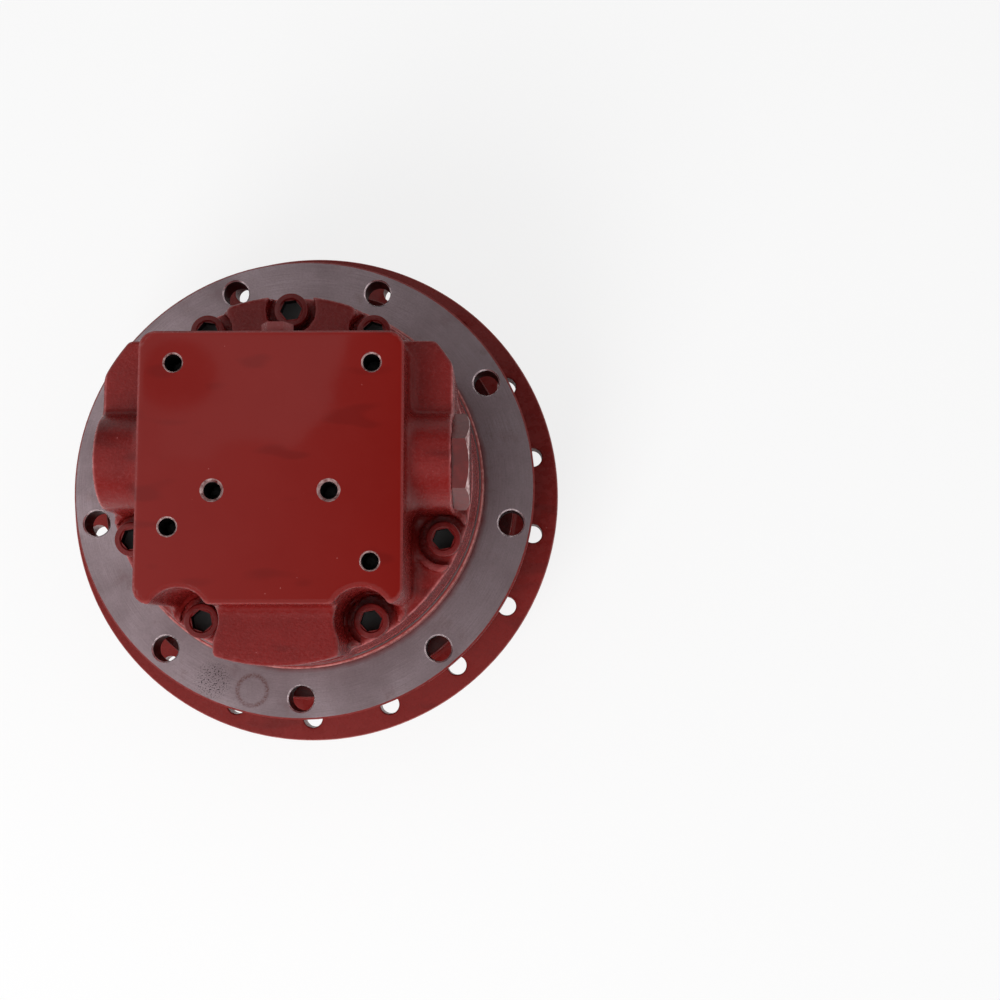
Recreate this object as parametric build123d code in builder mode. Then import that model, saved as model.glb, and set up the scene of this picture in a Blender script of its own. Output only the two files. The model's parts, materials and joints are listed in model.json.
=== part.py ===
from build123d import *
import math
import os

# Excavator final drive: an axial piston travel motor on a two-stage planetary gearbox.
# The drive's axis is Z. It stands on the end cover's outer face at Z = 0, with the motor's
# flat face on top and the two main ports facing -Y. All sizes are in millimetres.

# Main bearings, a pair of tapered roller bearings
bearing_bore = 70.0
bearing_section = 20.0
bearing_outer = bearing_bore + bearing_section
bearing_width = 19.0
bearing_spacing = 3.0
bearing_shoulder = 4.0
nose_relief = 2.0
roller_radius = 5.4
roller_length = 15.0
roller_lean = 10.0
roller_count = 20
roller_clearance = 0.2
rib_gap = 1.2
rib_height = 2.5
nut_height = 6.0
nut_wall = 10.0
nut_radius = bearing_bore + nut_wall
nut_slot_width = 10.0
nut_slot_depth = 4.0

# Face seal between the case and the hub
seal_ring_inset = 6.0
seal_ring_width = 12.0
seal_side_room = 3.5
seal_ring_inner = bearing_outer - seal_ring_inset
seal_ring_outer = seal_ring_inner + seal_ring_width
seal_pocket_radius = seal_ring_outer + seal_side_room
seal_skirt_thickness = 4.0
seal_ring_height = 7.5
seal_ring_lip = 3.0
seal_step = 6.0
toric_radius = 2.5
seal_room = 2.0
seal_floor_rise = 1.5
skirt_lift = 2.0
skirt_root = 1.0

# Frame flange of the motor case, and the pilot above it
frame_bolt_step = 13.5
frame_rim_width = 11.5
frame_bolt_circle = seal_pocket_radius + seal_skirt_thickness + frame_bolt_step
frame_flange_radius = frame_bolt_circle + frame_rim_width
frame_flange_thickness = 18.0
frame_bolt_count = 9
frame_hole_radius = 7.0
frame_edge = 1.0
pilot_step = 16.6
pilot_radius = frame_bolt_circle - pilot_step
pilot_height = 20.0
pilot_edge = 1.5

# Hub with the sprocket flange
hub_neck_gap = 3.0
hub_wall = 10.5
hub_neck_radius = seal_pocket_radius + seal_skirt_thickness + hub_neck_gap + hub_wall
hub_step = 1.0
hub_radius = hub_neck_radius + hub_step
sprocket_flange_reach = 25.0
sprocket_rim_width = 13.0
sprocket_flange_radius = hub_radius + sprocket_flange_reach
sprocket_bolt_circle = sprocket_flange_radius - sprocket_rim_width
sprocket_flange_thickness = 14.0
sprocket_flange_drop = 47.0
sprocket_bolt_count = 18
sprocket_hole_radius = 5.5
sprocket_edge = 1.0
hub_fillet = 4.0

# End cover, which the drive stands on
cover_thickness = 20.0
cover_radius = 112.0
cover_foot_radius = 84.0
cover_rim_thickness = 10.0
cover_wall = 10.0
cover_cavity_radius = 76.0
cover_bolt_circle = 103.0
cover_bolt_count = 12
cover_fillet = 3.0
oil_plug_circle = 62.0
oil_plug_radius = 9.0
oil_plug_depth = 8.0
oil_plug_recess = 1.5
thrust_boss_radius = 24.0
thrust_plate_radius = 21.0
thrust_plate_thickness = 3.7

# Planetary gears: stub teeth on one ring gear for both stages
gear_module = 3.0
pressure_angle = math.radians(25)
addendum = 0.8 * gear_module
dedendum = 1.0 * gear_module
tooth_play = 0.07
ring_teeth = 57
first_sun_teeth = 9
first_planet_teeth = 24
second_sun_teeth = 15
second_planet_teeth = 21
planet_count = 3
first_gear_width = 13.0
second_gear_width = 18.0
gear_gap = 2.0
first_gear_lift = 2.5
sun_overhang = 0.5
pin_overhang = 1.0
carrier_thickness = 6.0
carrier_radius = 63.0
first_pin_radius = 9.0
second_pin_radius = 10.0
second_pin_depth = 18.0
bush_wall = 3.0
ring_wall = 7.0
ring_flange_thickness = 10.0
sun_stem_radius = 8.5
second_sun_bore = 12.0
first_planet_angle = 30.0
second_planet_angle = 90.0

# Screws
case_screw_step = 13.4
case_screw_circle = pilot_radius - case_screw_step
case_screw_angles = (60.0, 90.0, 120.0, 202.5, 240.0, 300.0, 337.5)
case_screw_radius = 6.0
case_screw_grip = 20.0
case_socket = 10.0
case_screw_edge = 0.8
spot_face_radius = 13.0
scallop_radius = 15.0
cover_screw_radius = 4.0
cover_screw_head = 6.5
cover_screw_grip = 14.0
cover_socket = 6.0
head_ratio = 1.5
socket_ratio = 0.55

# Motor: cylinder block, pistons and swash plate
block_radius = 42.0
piston_count = 9
piston_circle = 29.0
piston_radius = 7.0
piston_length = 35.2
piston_neck = 1.5
piston_neck_radius = 3.0
block_end_wall = 4.0
piston_ball_radius = 5.0
swash_angle = 15.0
swash_radius = 41.0
swash_thickness = 7.0
swash_hole_radius = 18.0
shoe_height = 6.0
shoe_flange_radius = 9.3
shoe_flange_thickness = 3.0
shoe_neck_radius = 6.6
shoe_neck_rise = 2.0
retainer_thickness = 4.0
retainer_hole_play = 0.8
retainer_hole_shift = 0.5
retainer_radius = 39.0
retainer_ball_radius = 16.0
retainer_rim_radius = 20.0
retainer_rim_height = 8.0
ball_neck_radius = 12.5
ball_half_height = 8.0
ball_guide_gap = 1.0
ball_guide_lip = 1.0
ball_guide_thickness = 5.0
block_spring_wire = 1.8
block_spring_pitch = 4.0
block_spring_radius = 14.5
cradle_radius = 22.0
cradle_half_angle = 38.0
cradle_seat_half_width = 18.0
cradle_shell = 2.0
cradle_near = 20.0
cradle_far = 36.0
end_wall_thickness = 27.0
swash_centre_height = 25.0
block_gap = 14.0
valve_plate_thickness = 5.0
kidney_angle = 124.0
kidney_width = 7.0
kidney_middles = (90.0, 270.0)
block_recess = 16.0
valve_plate_radius = 38.0
shaft_radius = 11.0
journal_radius = 13.0
spline_count = 6
spline_width = 4.0
spline_depth = 1.6
shaft_bearing_outer = 22.0
shaft_bearing_width = 14.0
front_bearing_drop = 1.0
front_roller_count = 20
front_roller_inset = 2.0
nose_lip = 2.0
shaft_seal_radius = 20.0
shaft_seal_height = 8.0
shaft_foot_gap = 0.4
shaft_tail = 18.0
shaft_spline_stop = 2.0
shaft_socket_depth = 18.0
sun_stem_depth = 16.0
stem_spline_start = 3.0
stem_spline_width = 3.0
shaft_race = 15.5
shaft_cup = 19.5
speed_piston_radius = 5.0
speed_piston_offset = 31.0
speed_piston_gap = 0.5
speed_piston_edge = 1.0

# Parking brake
brake_screw_wall = 11.0
brake_large_radius = case_screw_circle - brake_screw_wall
brake_piston_step = 6.0
brake_small_radius = brake_large_radius - brake_piston_step
brake_case_step = 5.5
brake_case_radius = brake_small_radius - brake_case_step
brake_ledge = 6.5
cavity_radius = brake_case_radius - brake_ledge
brake_depth = 36.0
brake_bore_height = 18.0
brake_step_height = 8.0
brake_lug_count = 8
brake_lug_width = 12.0
brake_lug_depth = 4.0
friction_count = 3
friction_thickness = 2.4
separator_thickness = 2.0
brake_gap = 0.05
brake_inner_radius = 48.0
brake_piston_height = 16.0
friction_reach = 3.0
brake_piston_relief = 1.0
brake_stroke_room = 2.0
brake_spring_inset = 5.0
brake_spring_land = 1.0
brake_spring_thickness = 1.2
block_tooth_count = 16
block_tooth_width = 5.0
block_tooth_height = 2.5
block_tooth_overhang = 2.0

# Port block, the cast cover that the photograph shows from above
block_step = 2.0
block_flange_radius = pilot_radius - block_step
block_flange_height = 24.0
block_draft = 8.0
face_height = 110.0
face_half_width = 65.0
face_top = 62.0
face_bottom = -69.0
face_corner = 8.0
face_edge = 1.2
wing_half_width = 88.0
wing_height = 82.0
wing_top = 65.0
wing_width = 30.0
wing_reach = 1.1
wing_radius = block_flange_radius + wing_reach
spool_height = 75.5
spool_offset = 3.8
spool_boss_radius = 24.5
spool_radius = 10.0
spool_end_room = 14.0
spool_waist_radius = 6.0
spool_land_width = 12.0
spring_wire = 1.8
spring_pitch = 3.6
spool_plug_radius = 16.0
spool_plug_length = 22.0
spool_length = 2 * (wing_half_width - spool_plug_length - spool_end_room)
spool_hex = 44.0
spool_hex_height = 8.5
hex_bevel = 60.0
hex_edge = 0.5
port_pad_half_width = 31.0
port_pad_height = 88.0
port_spacing = 32.0
port_height = 62.0
port_radius = 9.3
port_depth = 18.0
port_face_radius = 14.5
port_face_inset = 5.4
port_face = block_flange_radius - port_face_inset
small_port_radius = 5.9
small_port_depth = 14.0
small_port_height = 80.0
small_ports = (-44.0, 18.0, 44.0)
gauge_plug_offset = -2.7
gauge_plug_radius = 5.0
gauge_plug_depth = 10.0
gauge_plug_hex = 14.0
gauge_plug_head = 11.5
lump_half_width = 34.0
lump_height = 57.0
lump_inset = 3.9
lump_radius = block_flange_radius - lump_inset
face_hole_radius = 4.25
face_hole_depth = 20.0
face_hole_chamfer = 0.9
face_hole_offset = 48.0
odd_hole = (-49.0, -31.5)
gauge_hole_offset = 28.0
gauge_hole_row = -14.0
gauge_hole_chamfer = 1.6
passage_radius = 5.0
passage_offset = 24.0
rear_bush_length = 16.0
root_fillet = 5.0
screw_boss_radius = 17.0
screw_boss_inset = 3.4
screw_boss_reach = block_flange_radius - screw_boss_inset
screw_boss_height = 4.0

# Clearances
fit = 0.05
running = 0.3

# Heights along the axis, each from the piece below it
cover_joint = cover_thickness
first_gear_bottom = cover_joint + first_gear_lift
first_gear_top = first_gear_bottom + first_gear_width
carrier_bottom = first_gear_top + gear_gap / 2
carrier_top = carrier_bottom + carrier_thickness
second_gear_bottom = carrier_top + gear_gap
second_gear_top = second_gear_bottom + second_gear_width
nose_bottom = second_gear_top + gear_gap
lower_bearing = nose_bottom + nut_height
upper_bearing = lower_bearing + bearing_width + bearing_spacing
bearing_top = upper_bearing + bearing_width
seal_floor = bearing_top + seal_floor_rise
seal_plane = seal_floor + seal_ring_height + seal_room
flange_bottom = seal_plane + seal_ring_height + seal_room
frame_face = flange_bottom + frame_flange_thickness
case_joint = frame_face + pilot_height
sprocket_face_top = frame_face - sprocket_flange_drop
sprocket_face = sprocket_face_top - sprocket_flange_thickness
hub_bottom = cover_joint + ring_flange_thickness
hub_top = flange_bottom - hub_neck_gap
cavity_bottom = nose_bottom + end_wall_thickness
front_bearing = cavity_bottom - shaft_bearing_width - front_bearing_drop
swash_centre = cavity_bottom + swash_centre_height
block_bottom = swash_centre + block_gap
block_top = case_joint - valve_plate_thickness
block_seat = block_bottom + block_recess
block_length = block_top - block_bottom
cradle_seat_top = swash_centre - (cradle_radius + cradle_shell) * math.cos(math.radians(cradle_half_angle))
brake_floor = case_joint - brake_depth
brake_stack_top = (brake_floor + (friction_count + 1) * separator_thickness
                   + friction_count * (friction_thickness + 2 * brake_gap))
brake_bore_bottom = brake_floor + brake_bore_height
brake_step = brake_bore_bottom + brake_step_height
flange_top = case_joint + block_flange_height
block_face = frame_face + face_height
wing_face = frame_face + wing_height
spool_level = frame_face + spool_height
pad_face = frame_face + port_pad_height
port_level = frame_face + port_height
small_port_level = frame_face + small_port_height
lump_face = frame_face + lump_height
face_holes = [
    (-face_hole_offset, face_hole_offset),
    (face_hole_offset, face_hole_offset),
    (face_hole_offset, -face_hole_offset),
    odd_hole,
]

# Gear radii
ring_pitch = gear_module * ring_teeth / 2
ring_body_radius = ring_pitch + dedendum + ring_wall
first_centre = gear_module * (first_sun_teeth + first_planet_teeth) / 2
second_centre = gear_module * (second_sun_teeth + second_planet_teeth) / 2
first_planet_bore = first_pin_radius + bush_wall
second_planet_bore = second_pin_radius + bush_wall

# The swash plate's own plane, tilted about Y with its +X side low
tilt = math.radians(swash_angle)


def swash_plane(height):
    """A plane square to the swash plate's axis, at a height above its centre."""
    normal = (math.sin(tilt), 0, math.cos(tilt))
    origin = (height * normal[0], 0, swash_centre + height * normal[2])
    return Plane(origin=origin, x_dir=(math.cos(tilt), 0, -math.sin(tilt)), z_dir=normal)


def involute(angle):
    return math.tan(angle) - angle


def toothed_outline(teeth, low, high, play, phase=0.0, steps=2):
    """Corners of a gear's outline, with teeth that widen by play on each flank.

    A ring gear's hole has the same outline: its spaces are such teeth with a positive play.
    """
    pitch = gear_module * teeth / 2
    base = pitch * math.cos(pressure_angle)
    start = max(base, low)
    radii = [start + (high - start) * step / steps for step in range(steps + 1)]
    if start > low:
        radii.insert(0, low)
    widest = math.pi / (2 * teeth) + play / pitch + involute(pressure_angle)
    flank = [(radius, widest - involute(math.acos(min(1.0, base / radius)))) for radius in radii]
    corners = []
    for tooth in range(teeth):
        middle = phase + 2 * math.pi * tooth / teeth
        rising = [(radius, middle - half) for radius, half in flank]
        falling = [(radius, middle + half) for radius, half in reversed(flank)]
        corners += [(r * math.cos(a), r * math.sin(a)) for r, a in rising + falling]
    return corners


def gear_outline(teeth, phase=0.0, play=-tooth_play, steps=2):
    pitch = gear_module * teeth / 2
    return toothed_outline(teeth, pitch - dedendum, pitch + addendum, play, phase, steps)


def planet_phase(angle, teeth):
    """Turn of a planet at that angle which meshes with the ring gear's space at angle 0."""
    return angle - angle * ring_teeth / teeth


def sun_phase(angle, planet_teeth, sun_teeth):
    """Turn of the sun which meshes with the planet at that angle."""
    planet_turn = (angle + math.pi - planet_phase(angle, planet_teeth)) * planet_teeth / (2 * math.pi)
    return angle - (0.5 - planet_turn) * 2 * math.pi / sun_teeth


def planet_angles(first_angle):
    return [first_angle + 360.0 * planet / planet_count for planet in range(planet_count)]


def on_circle(radius, angles):
    """Points on a circle about the drive's axis, for angles in degrees."""
    return [(radius * math.cos(math.radians(a)), radius * math.sin(math.radians(a))) for a in angles]


def every(count, first=0.0):
    return [first + 360.0 * place / count for place in range(count)]


# Bearing raceways: points beside a roller's axis, in radius and height
lean = math.radians(roller_lean)
roller_middle = (bearing_bore + bearing_outer) / 2
roller_taper = roller_radius / (roller_middle / math.sin(lean))


def raceway(side, distance):
    """Radius of a raceway at a distance along the roller's axis; side is -1 inside, 1 outside."""
    reach = side * (roller_radius + distance * roller_taper + roller_clearance)
    return roller_middle + distance * math.sin(lean) + reach / math.cos(lean)


nodes = {}


# Hub: the turning case, with the sprocket's pilot and flange
with BuildPart() as hub_case:
    with BuildSketch(Plane.XZ):
        with BuildLine():
            Polyline(
                (hub_radius, hub_bottom),
                (hub_radius, sprocket_face),
                (sprocket_flange_radius, sprocket_face),
                (sprocket_flange_radius, sprocket_face_top),
                (hub_neck_radius, sprocket_face_top),
                (hub_neck_radius, hub_top),
                (seal_pocket_radius + seal_skirt_thickness + hub_neck_gap, hub_top),
                (seal_pocket_radius + seal_skirt_thickness + hub_neck_gap, seal_plane),
                (seal_pocket_radius, seal_plane),
                (seal_pocket_radius, seal_floor),
                (bearing_outer + fit, seal_floor),
                (bearing_outer + fit, upper_bearing),
                (bearing_outer - bearing_shoulder, upper_bearing),
                (bearing_outer - bearing_shoulder, lower_bearing + bearing_width),
                (bearing_outer + fit, lower_bearing + bearing_width),
                (bearing_outer + fit, nose_bottom),
                (ring_body_radius + fit, nose_bottom),
                (ring_body_radius + fit, hub_bottom),
                close=True,
            )
        make_face()
    revolve(axis=Axis.Z)
    pilot_corner = (
        hub_case.edges()
        .filter_by(GeomType.CIRCLE)
        .filter_by(lambda e: abs(e.radius - hub_radius) < fit and abs(e.center().Z - sprocket_face) < fit)
    )
    fillet(pilot_corner, radius=hub_fillet)
    flange_rim = (
        hub_case.edges()
        .filter_by(GeomType.CIRCLE)
        .filter_by(lambda e: abs(e.radius - sprocket_flange_radius) < fit)
    )
    chamfer(flange_rim, length=sprocket_edge)
    with Locations(Plane.XY.offset(sprocket_face_top)):
        with PolarLocations(sprocket_bolt_circle, sprocket_bolt_count, start_angle=-90):
            Hole(sprocket_hole_radius, depth=sprocket_flange_thickness)
    with Locations(Plane.XY.offset(hub_bottom)):
        with PolarLocations(cover_bolt_circle, cover_bolt_count):
            Cylinder(
                cover_screw_radius + fit,
                cover_screw_grip + gear_gap,
                align=(Align.CENTER, Align.CENTER, Align.MIN),
                mode=Mode.SUBTRACT,
            )
nodes["hub_case"] = hub_case


# Ring gear: one toothed ring for both stages, clamped between the hub and the end cover
with BuildPart() as ring_gear:
    with BuildSketch(Plane.XY.offset(cover_joint)):
        Circle(cover_radius)
    extrude(amount=ring_flange_thickness)
    with BuildSketch(Plane.XY.offset(cover_joint)):
        Circle(ring_body_radius)
    extrude(amount=nose_bottom - cover_joint)
    with BuildSketch(Plane.XY.offset(cover_joint)):
        with BuildLine():
            ring_hole = toothed_outline(
                ring_teeth, ring_pitch - addendum, ring_pitch + dedendum, tooth_play
            )
            Polyline(*ring_hole, close=True)
        make_face()
    extrude(amount=nose_bottom - cover_joint, mode=Mode.SUBTRACT)
    with Locations(Plane.XY.offset(cover_joint + ring_flange_thickness)):
        with PolarLocations(cover_bolt_circle, cover_bolt_count):
            Hole(cover_screw_radius + fit, depth=ring_flange_thickness)
nodes["ring_gear"] = ring_gear


# End cover: a dished plate with a raised foot, two oil plug holes and the sun's thrust boss
with BuildPart() as end_cover:
    with BuildSketch(Plane.XY):
        Circle(cover_foot_radius)
    extrude(amount=cover_thickness)
    foot_rim = end_cover.edges().group_by(Axis.Z)[0]
    chamfer(foot_rim, length=cover_fillet)
    with BuildSketch(Plane.XY.offset(cover_joint - cover_rim_thickness)):
        Circle(cover_radius)
    extrude(amount=cover_rim_thickness)
    with BuildSketch(Plane.XY.offset(cover_wall)):
        Circle(cover_cavity_radius)
        Circle(thrust_boss_radius, mode=Mode.SUBTRACT)
    extrude(amount=cover_thickness - cover_wall, mode=Mode.SUBTRACT)
    with BuildSketch(Plane.XY.offset(cover_joint)):
        Circle(thrust_boss_radius + fit)
    extrude(amount=-gear_gap, mode=Mode.SUBTRACT)
    with Locations(Plane.XY.offset(cover_wall)):
        with Locations(*on_circle(oil_plug_circle, (90, -90))):
            Hole(oil_plug_radius + fit, depth=cover_wall)
    with Locations(Plane.XY.offset(cover_joint)):
        with PolarLocations(cover_bolt_circle, cover_bolt_count):
            Hole(cover_screw_radius + fit, depth=cover_rim_thickness)
nodes["end_cover"] = end_cover


# Screws of the end cover, heads down, through the ring gear's flange into the hub
cover_seat = cover_joint - cover_rim_thickness
with BuildPart() as end_cover_screws:
    with BuildSketch(Plane.XY.offset(cover_seat)):
        with PolarLocations(cover_bolt_circle, cover_bolt_count):
            Circle(cover_screw_head)
    extrude(amount=-2 * cover_screw_radius)
    with BuildSketch(Plane.XY.offset(cover_seat)):
        with PolarLocations(cover_bolt_circle, cover_bolt_count):
            Circle(cover_screw_radius)
    extrude(amount=cover_rim_thickness + ring_flange_thickness + cover_screw_grip)
    with BuildSketch(Plane.XY.offset(cover_seat - 2 * cover_screw_radius)):
        with PolarLocations(cover_bolt_circle, cover_bolt_count):
            RegularPolygon(cover_socket / 2, 6, major_radius=False)
    extrude(amount=2 * cover_screw_radius * socket_ratio, mode=Mode.SUBTRACT)
nodes["end_cover_screws"] = end_cover_screws


# Oil plugs, with hex sockets, set below the foot's face
with BuildPart() as oil_plugs:
    with BuildSketch(Plane.XY.offset(oil_plug_recess)):
        with Locations(*on_circle(oil_plug_circle, (90, -90))):
            Circle(oil_plug_radius)
    extrude(amount=oil_plug_depth)
    with BuildSketch(Plane.XY.offset(oil_plug_recess)):
        with Locations(*on_circle(oil_plug_circle, (90, -90))):
            RegularPolygon(oil_plug_radius / 2, 6, major_radius=False)
    extrude(amount=oil_plug_depth / 2, mode=Mode.SUBTRACT)
nodes["oil_plugs"] = oil_plugs


# Thrust plate under the first sun gear
with BuildPart() as thrust_plate:
    with BuildSketch(Plane.XY.offset(cover_joint - gear_gap)):
        Circle(thrust_plate_radius)
    extrude(amount=thrust_plate_thickness)
nodes["thrust_plate"] = thrust_plate


# Motor case: spindle nose, seal skirt, frame flange and pilot, bored out for the motor
with BuildPart() as motor_case:
    with BuildSketch(Plane.XZ):
        with BuildLine():
            Polyline(
                (0, nose_bottom),
                (bearing_bore - nose_relief, nose_bottom),
                (bearing_bore - nose_relief, lower_bearing),
                (bearing_bore, lower_bearing),
                (bearing_bore, bearing_top),
                (bearing_bore + bearing_shoulder, bearing_top),
                (bearing_bore + bearing_shoulder, flange_bottom - skirt_root),
                (seal_pocket_radius, flange_bottom - skirt_root),
                (seal_pocket_radius, seal_plane + skirt_lift),
                (seal_pocket_radius + seal_skirt_thickness, seal_plane + skirt_lift),
                (seal_pocket_radius + seal_skirt_thickness, flange_bottom),
                (frame_flange_radius, flange_bottom),
                (frame_flange_radius, frame_face),
                (pilot_radius, frame_face),
                (pilot_radius, case_joint),
                (0, case_joint),
                close=True,
            )
        make_face()
    revolve(axis=Axis.Z)
    flange_rims = (
        motor_case.edges()
        .filter_by(GeomType.CIRCLE)
        .filter_by(lambda e: abs(e.radius - frame_flange_radius) < fit)
    )
    chamfer(flange_rims, length=frame_edge)
    pilot_rim = (
        motor_case.edges()
        .filter_by(GeomType.CIRCLE)
        .filter_by(lambda e: abs(e.radius - pilot_radius) < fit and abs(e.center().Z - case_joint) < fit)
    )
    chamfer(pilot_rim, length=pilot_edge)
    with BuildSketch(Plane.XZ):
        with BuildLine():
            Polyline(
                (0, nose_bottom),
                (journal_radius + gear_gap, nose_bottom),
                (journal_radius + gear_gap, nose_bottom + nose_lip),
                (shaft_seal_radius, nose_bottom + nose_lip),
                (shaft_seal_radius, front_bearing),
                (shaft_bearing_outer + fit, front_bearing),
                (shaft_bearing_outer + fit, cavity_bottom),
                (cavity_radius, cavity_bottom),
                (cavity_radius, brake_floor),
                (brake_case_radius, brake_floor),
                (brake_case_radius, brake_bore_bottom),
                (brake_small_radius, brake_bore_bottom),
                (brake_small_radius, brake_step),
                (brake_large_radius, brake_step),
                (brake_large_radius, case_joint),
                (0, case_joint),
                close=True,
            )
        make_face()
    revolve(axis=Axis.Z, mode=Mode.SUBTRACT)
    with BuildSketch(Plane.XY.offset(brake_floor)):
        with PolarLocations(brake_case_radius, brake_lug_count):
            Rectangle(2 * brake_lug_depth, brake_lug_width)
    extrude(amount=brake_bore_bottom - brake_floor, mode=Mode.SUBTRACT)
    with Locations(Plane.XY.offset(nose_bottom + second_pin_depth)):
        with Locations(*on_circle(second_centre, planet_angles(second_planet_angle))):
            Hole(second_pin_radius, depth=second_pin_depth)
    with Locations(Plane.XY.offset(cavity_bottom)):
        with Locations((speed_piston_offset, 0)):
            Hole(speed_piston_radius + fit, depth=shaft_bearing_width)
    with Locations(Plane.XY.offset(case_joint)):
        with Locations(*on_circle(case_screw_circle, case_screw_angles)):
            Hole(case_screw_radius + fit, depth=case_screw_grip + gear_gap)
    with Locations(Plane.XY.offset(frame_face)):
        with PolarLocations(frame_bolt_circle, frame_bolt_count, start_angle=-90):
            Hole(frame_hole_radius, depth=frame_flange_thickness)
    # Two seats for the swash plate's cradle bearings
    for side in (-1, 1):
        with BuildSketch(Plane.XZ.offset(-side * cradle_near)):
            with Locations((0, cavity_bottom)):
                Rectangle(
                    2 * cradle_seat_half_width,
                    cradle_seat_top - cavity_bottom,
                    align=(Align.CENTER, Align.MIN),
                )
            with Locations((0, swash_centre)):
                Circle(cradle_radius + cradle_shell + fit, mode=Mode.SUBTRACT)
        extrude(amount=-side * (cradle_far - cradle_near))
nodes["motor_case"] = motor_case


# Nut that holds the lower main bearing on the nose
with BuildPart() as bearing_nut:
    with BuildSketch(Plane.XY.offset(nose_bottom)):
        Circle(nut_radius)
        Circle(bearing_bore - nose_relief + fit, mode=Mode.SUBTRACT)
        with PolarLocations(nut_radius, 4):
            Rectangle(2 * nut_slot_depth, nut_slot_width, mode=Mode.SUBTRACT)
    extrude(amount=nut_height)
nodes["bearing_nut"] = bearing_nut


def bearing_ends(lower):
    """Height of the rollers' small ends, and the way to their large ends."""
    return (lower_bearing + bearing_width, -1) if lower else (upper_bearing, 1)


# Tapered roller bearings: the cup turns with the hub, and the cone stays on the nose
for place, lower in (("lower", True), ("upper", False)):
    foot, way = bearing_ends(lower)
    half = roller_length / 2
    rib = half + rib_gap
    rise = [bearing_width / 2 + d * math.cos(lean) for d in (-half, half, rib)]
    top = bearing_width
    with BuildPart() as cone:
        with BuildSketch(Plane.XZ):
            with BuildLine():
                Polyline(
                    (bearing_bore + fit, foot),
                    (raceway(-1, -half), foot),
                    (raceway(-1, -half), foot + way * rise[0]),
                    (raceway(-1, rib), foot + way * rise[2]),
                    (raceway(-1, rib) + rib_height, foot + way * rise[2]),
                    (raceway(-1, rib) + rib_height, foot + way * top),
                    (bearing_bore + fit, foot + way * top),
                    close=True,
                )
            make_face()
        revolve(axis=Axis.Z)
    nodes[place + "_bearing_cone"] = cone
    with BuildPart() as cup:
        with BuildSketch(Plane.XZ):
            with BuildLine():
                Polyline(
                    (bearing_outer, foot),
                    (raceway(1, -half), foot),
                    (raceway(1, -half), foot + way * rise[0]),
                    (raceway(1, half), foot + way * rise[1]),
                    (bearing_outer, foot + way * (top - 2)),
                    close=True,
                )
            make_face()
        revolve(axis=Axis.Z)
    nodes[place + "_bearing_cup"] = cup
    with BuildPart() as rollers:
        for turn in every(roller_count):
            across = Vector(math.cos(math.radians(turn)), math.sin(math.radians(turn)), 0)
            along = across * math.sin(lean) + Vector(0, 0, way * math.cos(lean))
            middle = across * roller_middle + Vector(0, 0, foot + way * bearing_width / 2)
            start = Plane(origin=middle - along * half, z_dir=along)
            with BuildSketch(start):
                Circle(roller_radius - half * roller_taper)
            extrude(amount=roller_length, taper=-math.degrees(math.atan(roller_taper)))
    nodes[place + "_bearing_rollers"] = rollers


# Face seal: two lapped metal rings, each pressed by a rubber toric ring on its ramp
seal_ramp = math.atan2(seal_ring_height - seal_ring_lip, seal_step)
toric_centre = seal_pocket_radius - toric_radius - 2 * fit
toric_rise = (toric_radius + fit - (toric_centre - seal_ring_outer) * math.sin(seal_ramp)) / math.cos(seal_ramp)
for place, way in (("upper", 1), ("lower", -1)):
    lap = seal_plane + way * fit / 2
    end = lap + way * seal_ring_height
    with BuildPart() as seal_ring:
        with BuildSketch(Plane.XZ):
            with BuildLine():
                Polyline(
                    (seal_ring_inner, lap),
                    (seal_ring_outer, lap),
                    (seal_ring_outer, lap + way * seal_ring_lip),
                    (seal_ring_outer - seal_step, end),
                    (seal_ring_inner, end),
                    close=True,
                )
            make_face()
        revolve(axis=Axis.Z)
    nodes[place + "_seal_ring"] = seal_ring
    with BuildPart() as toric:
        with BuildSketch(Plane.XZ):
            with Locations((toric_centre, lap + way * (seal_ring_lip + toric_rise))):
                RegularPolygon(toric_radius, 6)
        revolve(axis=Axis.Z)
    nodes[place + "_seal_toric"] = toric


# First stage: sun on a long stem, three planets, their pins and bushes, and the carrier
first_angles = planet_angles(first_planet_angle)
first_turn = math.radians(first_planet_angle)
with BuildPart() as first_sun:
    with BuildSketch(Plane.XY.offset(first_gear_bottom - sun_overhang)):
        with BuildLine():
            phase = sun_phase(first_turn, first_planet_teeth, first_sun_teeth)
            Polyline(*gear_outline(first_sun_teeth, phase, steps=3), close=True)
        make_face()
    extrude(amount=first_gear_width + 2 * sun_overhang)
    with BuildSketch(Plane.XY.offset(first_gear_top)):
        Circle(sun_stem_radius)
    extrude(amount=nose_bottom + sun_stem_depth - first_gear_top)
    with BuildSketch(Plane.XY.offset(nose_bottom + stem_spline_start)):
        with PolarLocations(sun_stem_radius, spline_count):
            Rectangle(2 * spline_depth, stem_spline_width)
    extrude(amount=sun_stem_depth - stem_spline_start)
nodes["first_sun_gear"] = first_sun

for letter, angle in zip("abc", first_angles):
    with BuildPart() as planet:
        centre = on_circle(first_centre, [angle])[0]
        with BuildSketch(Plane.XY.offset(first_gear_bottom)):
            with BuildLine():
                turn = planet_phase(math.radians(angle), first_planet_teeth)
                outline = gear_outline(first_planet_teeth, turn)
                Polyline(*[(x + centre[0], y + centre[1]) for x, y in outline], close=True)
            make_face()
            with Locations(centre):
                Circle(first_planet_bore, mode=Mode.SUBTRACT)
        extrude(amount=first_gear_width)
    nodes["first_planet_" + letter] = planet

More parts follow.
